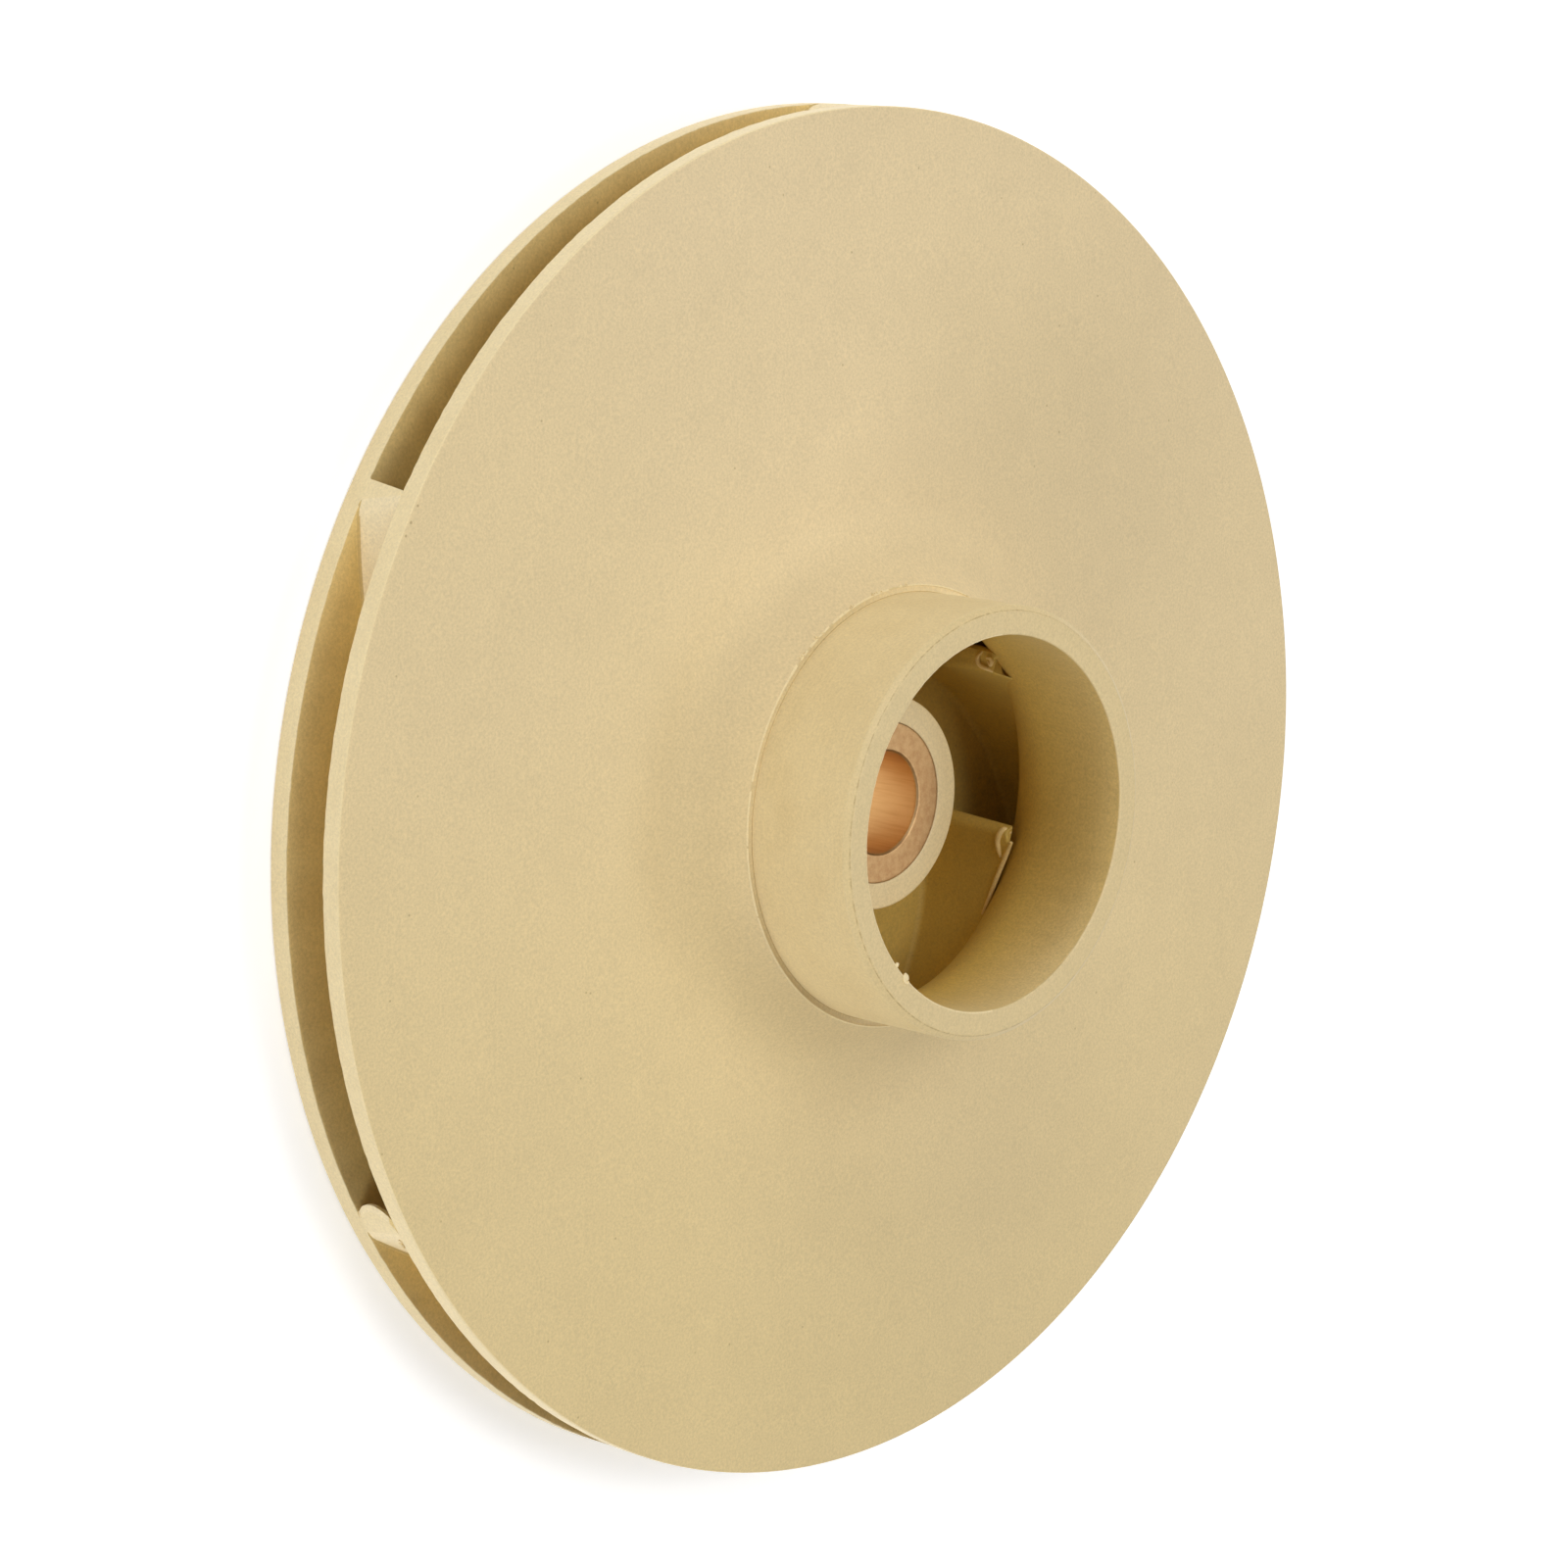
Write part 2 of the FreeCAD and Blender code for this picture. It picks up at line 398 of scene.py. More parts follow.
class NodeBench:
    """A material's node tree, with short calls to add and join nodes."""

    def __init__(self, name: str, roughness: float, metallic: float = 0.0) -> None:
        """Start a material with one surface shader that reads object coordinates.

        Args:
            name: The material's name.
            roughness: Its plain roughness.
            metallic: How metallic it is, from 0 to 1.
        """
        self.material = bpy.data.materials.new(name)
        self.material.use_nodes = True
        self.tree = self.material.node_tree
        self.tree.nodes.clear()
        self.shader = self.tree.nodes.new("ShaderNodeBsdfPrincipled")
        output = self.tree.nodes.new("ShaderNodeOutputMaterial")
        self.join(self.shader.outputs[0], output.inputs["Surface"])
        self.shader.inputs["Roughness"].default_value = roughness
        self.shader.inputs["Metallic"].default_value = metallic
        self.place = self.tree.nodes.new("ShaderNodeTexCoord").outputs["Object"]

    def join(self, source: bpy.types.NodeSocket, target: bpy.types.NodeSocket) -> None:
        """Join an output to an input."""
        self.tree.links.new(source, target)

    def feed(self, target: bpy.types.NodeSocket, value: object) -> None:
        """Set an input, from an output or from a plain value.

        Args:
            target: The input.
            value: The output or the value.
        """
        if isinstance(value, bpy.types.NodeSocket):
            self.join(value, target)
        else:
            target.default_value = value

    def math(self, operation: str, first: object, second: object = 0.0) -> bpy.types.NodeSocket:
        """Do one step of arithmetic on numbers.

        Args:
            operation: What is done, by the Math node's names.
            first: The first number, or an output.
            second: The second number, or an output.

        Returns:
            The result.
        """
        node = self.tree.nodes.new("ShaderNodeMath")
        node.operation = operation
        self.feed(node.inputs[0], first)
        self.feed(node.inputs[1], second)
        return node.outputs[0]

    def vector(self, operation: str, first: object, second: object = (0, 0, 0)) -> bpy.types.Node:
        """Do one step of arithmetic on vectors.

        Args:
            operation: What is done, by the Vector Math node's names.
            first: The first vector, or an output.
            second: The second vector, or an output.

        Returns:
            The node, which holds the result as a vector or as a value.
        """
        node = self.tree.nodes.new("ShaderNodeVectorMath")
        node.operation = operation
        self.feed(node.inputs[0], first)
        self.feed(node.inputs[1], second)
        return node

    def stretched(self, scale: tuple[float, float, float]) -> bpy.types.NodeSocket:
        """The object coordinates with each axis scaled."""
        return self.vector("MULTIPLY", self.place, scale).outputs[0]

    def radius(self) -> bpy.types.NodeSocket:
        """The distance from the Z axis, in metres."""
        return self.vector("LENGTH", self.stretched((1, 1, 0))).outputs["Value"]

    def height(self) -> bpy.types.NodeSocket:
        """Read the height above the back face.

        Returns:
            The height, in metres.
        """
        node = self.tree.nodes.new("ShaderNodeSeparateXYZ")
        self.join(self.place, node.inputs[0])
        return node.outputs["Z"]

    def noise(
        self, size: float, detail: float = 2.0, roughness: float = 0.5, where: object = None
    ) -> bpy.types.NodeSocket:
        """A cloudy pattern.

        Args:
            size: The width of its blotches, in metres.
            detail: How many finer layers it has.
            roughness: How strong the finer layers are.
            where: The coordinates, or the object's own.

        Returns:
            A value about one half.
        """
        node = self.tree.nodes.new("ShaderNodeTexNoise")
        self.join(where or self.place, node.inputs["Vector"])
        node.inputs["Scale"].default_value = 1 / size
        node.inputs["Detail"].default_value = detail
        node.inputs["Roughness"].default_value = roughness
        return node.outputs["Fac"]

    def specks(self, spacing: float, size: float, share: float) -> bpy.types.NodeSocket:
        """Small round specks.

        Args:
            spacing: The width of the cells that may each hold one, in metres.
            size: A speck's radius as a share of the cell.
            share: The share of the cells that hold one.

        Returns:
            One inside a speck and nothing outside.
        """
        node = self.tree.nodes.new("ShaderNodeTexVoronoi")
        self.join(self.place, node.inputs["Vector"])
        node.inputs["Scale"].default_value = 1 / spacing
        near = self.spread(node.outputs["Distance"], size, size * 0.5, 0.0, 1.0)
        parts = self.tree.nodes.new("ShaderNodeSeparateColor")
        self.join(node.outputs["Color"], parts.inputs[0])
        return self.math("MULTIPLY", near, self.math("LESS_THAN", parts.outputs[0], share))

    def spread(
        self, value: object, low: float, high: float, out_low: float, out_high: float
    ) -> bpy.types.NodeSocket:
        """Map a range of values to another, and hold it at the ends.

        Args:
            value: The output that is mapped.
            low: Where the range starts.
            high: Where it ends.
            out_low: The result at its start.
            out_high: The result at its end.

        Returns:
            The mapped value.
        """
        node = self.tree.nodes.new("ShaderNodeMapRange")
        self.feed(node.inputs["Value"], value)
        for name, number in zip(("From Min", "From Max", "To Min", "To Max"), (low, high, out_low, out_high)):
            node.inputs[name].default_value = number
        return node.outputs["Result"]

    def mix(self, share: object, first: object, second: object) -> bpy.types.NodeSocket:
        """Blend two colours.

        Args:
            share: How much of the second colour there is, from 0 to 1.
            first: The first colour, or an output.
            second: The second colour, or an output.

        Returns:
            The blend.
        """
        node = self.tree.nodes.new("ShaderNodeMix")
        node.data_type = "RGBA"
        self.feed(node.inputs["Factor"], share)
        first_colour, second_colour = (socket for socket in node.inputs if socket.type == "RGBA")
        self.feed(first_colour, first)
        self.feed(second_colour, second)
        return next(socket for socket in node.outputs if socket.type == "RGBA")

    def dim(self, colour: object, share: object) -> bpy.types.NodeSocket:
        """Scale a colour's brightness.

        Args:
            colour: The colour, or an output.
            share: What it is multiplied by.

        Returns:
            The scaled colour.
        """
        node = self.tree.nodes.new("ShaderNodeVectorMath")
        node.operation = "SCALE"
        self.feed(node.inputs[0], colour if isinstance(colour, bpy.types.NodeSocket) else colour[:3])
        self.feed(node.inputs["Scale"], share)
        return node.outputs[0]

    def bump(self, height: object, depth: float, under: object = None) -> bpy.types.NodeSocket:
        """Raise the surface by a pattern.

        Args:
            height: The pattern, from 0 to 1.
            depth: How high a value of 1 stands, in metres.
            under: Another bump that this one lies on.

        Returns:
            The bent normal.
        """
        node = self.tree.nodes.new("ShaderNodeBump")
        node.inputs["Distance"].default_value = depth
        self.feed(node.inputs["Height"], height)
        if under:
            self.join(under, node.inputs["Normal"])
        return node.outputs["Normal"]

    def finish(self, colour: object, normal: object = None, roughness: object = None) -> bpy.types.Material:
        """Join the patterns to the surface shader.

        Args:
            colour: The base colour.
            normal: The bent normal, if there is a bump.
            roughness: The roughness, if it has a pattern.

        Returns:
            The material.
        """
        self.feed(self.shader.inputs["Base Color"], colour)
        if normal:
            self.join(normal, self.shader.inputs["Normal"])
        if roughness:
            self.join(roughness, self.shader.inputs["Roughness"])
        return self.material


@dataclass(frozen=True)
class MouldedPlastic:
    """Filled plastic as it leaves the mould: matt, slightly cloudy, with a sandy grain; some copies carry
    painted light and shade.
    """

    name: str = "moulded_plastic"
    colour: tuple[float, float, float, float] = linear(222, 200, 156)
    painted_side_colour: tuple[float, float, float, float] = linear(219, 196, 143)
    painted_side: tuple[float, float, float] = (0.914, -0.407, 0.0)
    painted_side_from: float = -70 * MM
    painted_side_to: float = 80 * MM
    cloud_share: float = 0.03
    speck_colour: tuple[float, float, float, float] = linear(150, 122, 76)
    speck_share: float = 0.4
    roughness: float = 0.62
    grain_size: float = 0.32 * MM
    grain_share: float = 0.22
    grain_depth: float = 0.02 * MM
    streak_share: float = 0.0
    mouth_painted_colour: tuple[float, float, float, float] | None = None
    mouth_painted_from: float = 68 * MM
    mouth_painted_to: float = 80 * MM
    neck_shade: float = 0.0
    neck_side: tuple[float, float, float] = (0.574, -0.819, 0.0)
    neck_radius: float = 29.5 * MM
    neck_width: float = 4 * MM
    neck_lit_from: float = 10 * MM
    neck_lit_to: float = 26 * MM
    deep_shade_colour: tuple[float, float, float, float] | None = None
    deep_shade_from: float = 30 * MM
    deep_shade_to: float = 20 * MM
    spots: tuple[tuple[float, float, float], ...] = ()
    spot_radius: float = 79.5 * MM

    def build(self) -> bpy.types.Material:
        """Make the material.

        Returns:
            The plastic with its clouds, grain and specks, and its painted light and shade.
        """
        bench = NodeBench(self.name, self.roughness)
        # Painted shade: towards one side the colour turns to a second, darker and yellower colour, where less
        # light falls; the eye's copy uses this as painted light, paler on its lit side.
        side = bench.vector("DOT_PRODUCT", bench.place, self.painted_side).outputs["Value"]
        drift = bench.spread(bench.noise(60 * MM, 1.0, 0.5), 0.3, 0.7, -0.15, 0.15)
        painted_side_share = bench.math("ADD", bench.spread(side, self.painted_side_from, self.painted_side_to, 0.0, 1.0), drift)
        colour = bench.mix(painted_side_share, self.colour, self.painted_side_colour)
        # Painted light and shade near the rim: the colour turns to a mouth colour, paler where light reaches
        # into the passages and onto the vane tips, darker at the vanes' feet.
        if self.mouth_painted_colour:
            outer = bench.spread(bench.radius(), self.mouth_painted_from, self.mouth_painted_to, 0.0, 1.0)
            colour = bench.mix(outer, colour, self.mouth_painted_colour)
        # Painted shade: lower down, the colour turns to a deeper, more saturated amber.
        if self.deep_shade_colour:
            deep = bench.spread(bench.height(), self.deep_shade_from, self.deep_shade_to, 0.0, 1.0)
            colour = bench.mix(deep, colour, self.deep_shade_colour)
        low, high = 1 - self.cloud_share / 2, 1 + self.cloud_share / 2
        clouds = bench.spread(bench.noise(18 * MM, 3.0, 0.55), 0.35, 0.65, low, high)
        patches = bench.spread(bench.noise(3.5 * MM, 3.0, 0.55), 0.3, 0.7, low, high)
        grain = bench.noise(self.grain_size, 3.0, 0.7)
        light = bench.spread(grain, 0.3, 0.7, 1 - self.grain_share / 2, 1 + self.grain_share / 2)
        colour = bench.dim(bench.dim(bench.dim(colour, clouds), patches), light)
        if self.streak_share:
            streaks = bench.noise(0.9 * MM, 2.0, 0.6, bench.stretched((1, 1, 0.12)))
            low, high = 1 - self.streak_share / 2, 1 + self.streak_share / 2
            colour = bench.dim(colour, bench.spread(streaks, 0.3, 0.7, low, high))
        # Painted shade: a soft band round the neck is darkened, except on the side towards the neck's lit
        # direction.
        if self.neck_shade:
            off = bench.math("ABSOLUTE", bench.math("SUBTRACT", bench.radius(), self.neck_radius))
            near = bench.spread(off, 0.0, self.neck_width, 1 - self.neck_shade, 1.0)
            toward = bench.vector("DOT_PRODUCT", bench.place, self.neck_side).outputs["Value"]
            lit = bench.spread(toward, self.neck_lit_from, self.neck_lit_to, 0.0, 1.0)
            colour = bench.mix(lit, bench.dim(colour, near), colour)
        for angle, height, size in self.spots:
            spot = polar(self.spot_radius, angle, height)
            away = bench.vector("DISTANCE", bench.place, spot).outputs["Value"]
            colour = bench.mix(bench.spread(away, size / 2, size, 0.6, 0.0), colour, self.speck_colour)
        specks = bench.specks(3.2 * MM, 0.055, self.speck_share)
        colour = bench.mix(bench.math("MULTIPLY", specks, 0.5), colour, self.speck_colour)
        rough = bench.spread(grain, 0.3, 0.7, self.roughness - 0.06, self.roughness + 0.06)
        return bench.finish(colour, bench.bump(grain, self.grain_depth), rough)


@dataclass(frozen=True)
class TurnedPlastic:
    """The same plastic after turning: smoother, a little yellower, with fine tool lines."""

    name: str = "turned_plastic"
    colour: tuple[float, float, float, float] = linear(216, 195, 147)
    stain_colour: tuple[float, float, float, float] = linear(211, 189, 139)
    line_pitch: float = 0.35 * MM
    line_depth: float = 0.006 * MM
    grain_size: float = 0.3 * MM
    grain_share: float = 0.2
    roughness: float = 0.5
    scribe_radius: float = 0.0
    scribe_width: float = 0.08 * MM
    scribe_height: float = 31.6 * MM
    scribe_colour: tuple[float, float, float, float] = linear(150, 120, 72)

    def build(self) -> bpy.types.Material:
        """Make the material.

        Returns:
            The plastic with its tool lines and stains.
        """
        bench = NodeBench(self.name, self.roughness)
        lines = bench.tree.nodes.new("ShaderNodeCombineXYZ")
        bench.join(bench.radius(), lines.inputs["X"])
        bench.join(bench.height(), lines.inputs["Z"])
        drift = bench.vector("MULTIPLY", bench.place, (0.02, 0.02, 0.0)).outputs[0]
        where = bench.vector("ADD", lines.outputs[0], drift).outputs[0]
        tool = bench.noise(self.line_pitch, 2.0, 0.6, where)
        grain = bench.noise(self.grain_size, 3.0, 0.7)
        stains = bench.spread(bench.noise(6 * MM, 3.0, 0.6), 0.45, 0.75, 0.0, 1.0)
        colour = bench.mix(stains, self.colour, self.stain_colour)
        light = bench.spread(tool, 0.3, 0.7, 0.985, 1.015)
        fine = bench.spread(grain, 0.3, 0.7, 1 - self.grain_share / 2, 1 + self.grain_share / 2)
        colour = bench.dim(bench.dim(colour, light), fine)
        if self.scribe_radius:
            colour = bench.mix(self.scribe(bench), colour, self.scribe_colour)
        return bench.finish(colour, bench.bump(tool, self.line_depth))

    def scribe(self, bench: NodeBench) -> bpy.types.NodeSocket:
        """Draw the broken dark line where the collar's chamfer begins.

        Args:
            bench: The material's bench.

        Returns:
            The share of dirt.
        """
        off = bench.math("ABSOLUTE", bench.math("SUBTRACT", bench.radius(), self.scribe_radius))
        near = bench.spread(off, self.scribe_width * 0.5, self.scribe_width, 0.6, 0.0)
        above = bench.math("GREATER_THAN", bench.height(), self.scribe_height)
        broken = bench.spread(bench.noise(1.1 * MM, 3.0, 0.8), 0.4, 0.6, 0.1, 1.0)
        return bench.math("MULTIPLY", bench.math("MULTIPLY", near, above), broken)


@dataclass(frozen=True)
class TurnedBronze:
    """Turned bearing bronze: a blotched dull face, and a bright bore with marks along it."""

    name: str = "turned_bronze"
    bore_radius: float = 6.0 * MM
    face_colour: tuple[float, float, float, float] = linear(173, 142, 101)
    blotch_colour: tuple[float, float, float, float] = linear(160, 126, 87)
    bore_colour: tuple[float, float, float, float] = linear(219, 180, 122)
    streak_colour: tuple[float, float, float, float] = linear(209, 166, 108)
    line_pitch: float = 0.3 * MM
    line_depth: float = 0.008 * MM
    roughness: float = 0.42
    bore_roughness: float = 0.42

    def build(self) -> bpy.types.Material:
        """Make the material.

        Returns:
            The bronze with its blotches and its bright bore.
        """
        bench = NodeBench(self.name, self.roughness, metallic=0.85)
        blotches = bench.spread(bench.noise(1.1 * MM, 4.0, 0.65), 0.4, 0.62, 0.0, 1.0)
        face = bench.mix(blotches, self.face_colour, self.blotch_colour)
        fine = bench.spread(bench.noise(0.25 * MM, 2.0, 0.6), 0.3, 0.7, 0.94, 1.06)
        face = bench.dim(face, fine)
        marks = bench.noise(0.5 * MM, 3.0, 0.65, bench.stretched((1, 1, 0.06)))
        bore = bench.mix(bench.spread(marks, 0.42, 0.66, 0.0, 1.0), self.bore_colour, self.streak_colour)
        inside = bench.spread(bench.radius(), self.bore_radius, self.bore_radius + 0.1 * MM, 1.0, 0.0)
        rings = bench.tree.nodes.new("ShaderNodeCombineXYZ")
        bench.join(bench.radius(), rings.inputs["X"])
        tool = bench.noise(self.line_pitch, 2.0, 0.6, rings.outputs[0])
        rough = bench.spread(inside, 0.0, 1.0, self.roughness, self.bore_roughness)
        return bench.finish(bench.mix(inside, face, bore), bench.bump(tool, self.line_depth), rough)


@dataclass
class Throat:
    """The sizes of the passage that both mouldings share, in metres and degrees."""

    outer_radius: float
    roof_rim_height: float
    overall_height: float
    eye_radius: float
    roof_slope: float = 2.2
    eye_draft: float = 2.4
    radius: float = 10.0 * MM

    def __post_init__(self) -> None:
        """Work out the arc between the eye's wall and the passage roof."""
        slope = math.radians(self.roof_slope)
        draft = math.radians(self.eye_draft)
        self.rim = place(self.outer_radius, self.roof_rim_height)
        self.inward = Vector((-math.cos(slope), 0, math.sin(slope)))
        self.mouth = place(self.eye_radius, self.overall_height)
        self.downward = Vector((math.sin(draft), 0, -math.cos(draft)))
        self.corner = meet(self.mouth, self.downward, self.rim, self.inward)
        back = -self.downward
        half_angle = back.angle(-self.inward) / 2
        bisector = (back - self.inward).normalized()
        self.centre = self.corner + bisector * (self.radius / math.sin(half_angle))
        self.roof_start = self.corner - self.inward * (self.radius / math.tan(half_angle))

    def roof(self, radius: float) -> float:
        """Find the height of the passage roof, outside the throat's narrowest place.

        Args:
            radius: The distance from the axis.

        Returns:
            The height there.
        """
        if radius > self.roof_start.x:
            return self.rim.z + (self.rim.x - radius) * math.tan(math.radians(self.roof_slope))
        reach = self.centre.x - radius
        return self.centre.z - math.sqrt(max(0.0, self.radius ** 2 - reach ** 2))


@dataclass
class FrontShroud:
    """The front moulding: disc, concave neck, turned collar and eye."""

    throat: Throat
    wall: float = 2.5 * MM
    face_slope: float = 2.0
    neck_radius: float = 12.8 * MM
    shoulder_height: float = 17.5 * MM
    shoulder_radius: float = 25.9 * MM
    collar_radius: float = 25.0 * MM
    chamfer_width: float = 0.7 * MM
    chamfer_height: float = 0.5 * MM
    rim_edge_radius: float = 0.3 * MM
    lip_radius: float = 0.17 * MM
    fine_radius: float = 0.08 * MM
    foot_groove: float = 0.08 * MM
    hold: float = 0.25 * MM
    segments: int = 576
    rim_wear: float = 0.06 * MM
    shoulder_wear: float = 0.04 * MM
    shoulder_band: float = 0.3 * MM
    chipped_wear: float = 0.16 * MM
    chipped_from: float = -180.0
    chipped_to: float = -132.0
    lip_wear: float = 0.035 * MM
    turned_depth: float = 0.2 * MM
    lip_start: float = -0.02
    side_from: float = 0.8
    inside_from: float = -0.5
    underside_from: float = -0.2

    def neck(self) -> tuple[Vector, Vector, float]:
        """Work out the neck's arc, tangent to the face and ending on the shoulder.

        Returns:
            Its foot on the face, its centre, and the angle that it turns.
        """
        slope = math.radians(self.face_slope)
        rim = place(self.throat.outer_radius, self.throat.roof_rim_height + self.wall)
        inward = Vector((-math.cos(slope), 0, math.sin(slope)))
        upward = Vector((math.sin(slope), 0, math.cos(slope)))
        shoulder = place(self.shoulder_radius, self.shoulder_height)
        offset = shoulder - rim - upward * self.neck_radius
        along = inward.dot(offset)
        reach = along - math.sqrt(along ** 2 - offset.dot(offset) + self.neck_radius ** 2)
        foot = rim + inward * reach
        centre = foot + upward * self.neck_radius
        return foot, centre, (foot - centre).angle(shoulder - centre)

    def section(self) -> bmesh.types.BMesh:
        """Draw the half section and turn it.

        Returns:
            The moulding's closed shape.
        """
        throat = self.throat
        foot, centre, angle = self.neck()
        rim_face = place(throat.outer_radius, throat.roof_rim_height + self.wall)
        shoulder = place(self.shoulder_radius, self.shoulder_height)
        groove_edge = place(self.collar_radius + self.foot_groove, self.shoulder_height)
        groove = place(self.collar_radius, self.shoulder_height - self.foot_groove)
        chamfer_foot = place(self.collar_radius, throat.overall_height - self.chamfer_height)
        chamfer_top = place(self.collar_radius - self.chamfer_width, throat.overall_height)
        pen = Section(throat.rim + place(0, self.fine_radius))
        pen.corner(rim_face, foot, self.rim_edge_radius, 5, self.hold)
        pen.straight_to(foot, self.hold, 6)
        pen.arc(centre, -angle, 28)
        pen.corner(shoulder, groove_edge, self.fine_radius, 2)
        pen.straight_to(groove_edge)
        pen.straight_to(groove)
        pen.corner(chamfer_foot, chamfer_top, self.fine_radius, 2, self.hold)
        pen.corner(chamfer_top, throat.mouth, self.fine_radius, 2)
        pen.corner(throat.mouth, throat.corner, self.lip_radius, 5, self.hold)
        pen.corner(throat.corner, throat.rim, throat.radius, 20, self.hold)
        pen.straight_to(throat.rim + throat.inward * self.fine_radius, self.hold, 4)
        return pen.turned(self.segments)

    def wear(self, place: Vector) -> float:
        """Say how far a point may be pushed about, at the rim, the lip and the shoulder.

        Args:
            place: The point.

        Returns:
            The greatest push, or nothing for a point that stays.
        """
        radius = math.hypot(place.x, place.y)
        if radius > self.throat.outer_radius - self.fine_radius:
            return self.rim_wear if place.z < self.throat.roof_rim_height + 2 * self.fine_radius else 0.0
        near = abs(radius - self.shoulder_radius) < self.fine_radius
        if near and place.z > self.shoulder_height - self.shoulder_band:
            angle = math.degrees(math.atan2(place.y, place.x))
            return self.chipped_wear if self.chipped_from <= angle < self.chipped_to else self.shoulder_wear
        return self.lip_wear if place.z > self.throat.overall_height - self.lip_radius else 0.0

    def zone_of(self, centre: Vector, normal: Vector) -> Zone:
        """Choose a face's finish.

        The collar is turned, with painted highlights on the lip's half at negative Y and on the shoulder. Its
        inside takes the eye's painted shade, the rim takes painted light, and the water's side takes the
        inner painted shade.

        Args:
            centre: The face's middle.
            normal: Its direction.

        Returns:
            The zone that it belongs to.
        """
        radius = math.hypot(centre.x, centre.y)
        outward = (normal.x * centre.x + normal.y * centre.y) / radius
        if centre.z > self.shoulder_height - self.turned_depth and radius < self.shoulder_radius:
            past_wall = radius > self.collar_radius - self.fine_radius
            # Painted highlight: the shoulder ring and the groove at the collar's foot take the paler colour.
            if past_wall and centre.z < self.shoulder_height + self.fine_radius:
                return Zone.RIM
            in_lip = radius < self.throat.eye_radius + self.lip_radius and outward < self.lip_start
            if in_lip and centre.z > self.throat.overall_height - self.lip_radius:
                # Painted highlight on the lip's round, on the half at negative Y only.
                return Zone.RIM if centre.y < 0 else Zone.TURNED
            if outward > self.side_from:
                return Zone.COLLAR
            return Zone.TURNED if outward > self.inside_from else Zone.EYE
        # The eye's wall takes the eye's painted shade.
        if radius < self.throat.roof_start.x and outward < 0:
            return Zone.EYE
        # Painted light: the trimmed rim takes the paler colour.
        if radius > self.throat.outer_radius - 0.3 * self.rim_edge_radius:
            return Zone.RIM
        # The passage roof takes the inner painted shade.
        return Zone.INNER if normal.z < self.underside_from else Zone.MOULDED

    def build(self, materials: Sequence[bpy.types.Material]) -> bpy.types.Object:
        """Make the moulding and dress it.

        Args:
            materials: The finishes in the order of the zones.

        Returns:
            The finished piece.
        """
        mesh = self.section()
        roughen(mesh, self.wear, 0.8 * MM)
        piece = finish_mesh("front_moulding", mesh, materials, self.zone_of)
        attach(piece, PLASTIC_SLOT, "front_shroud")
        return piece


@dataclass(frozen=True)
class Flank:
    """One side of a vane: its top's distance from the centre line, its draft, and its end's round."""

    half: float
    draft: float
    end_radius: float = 0.0


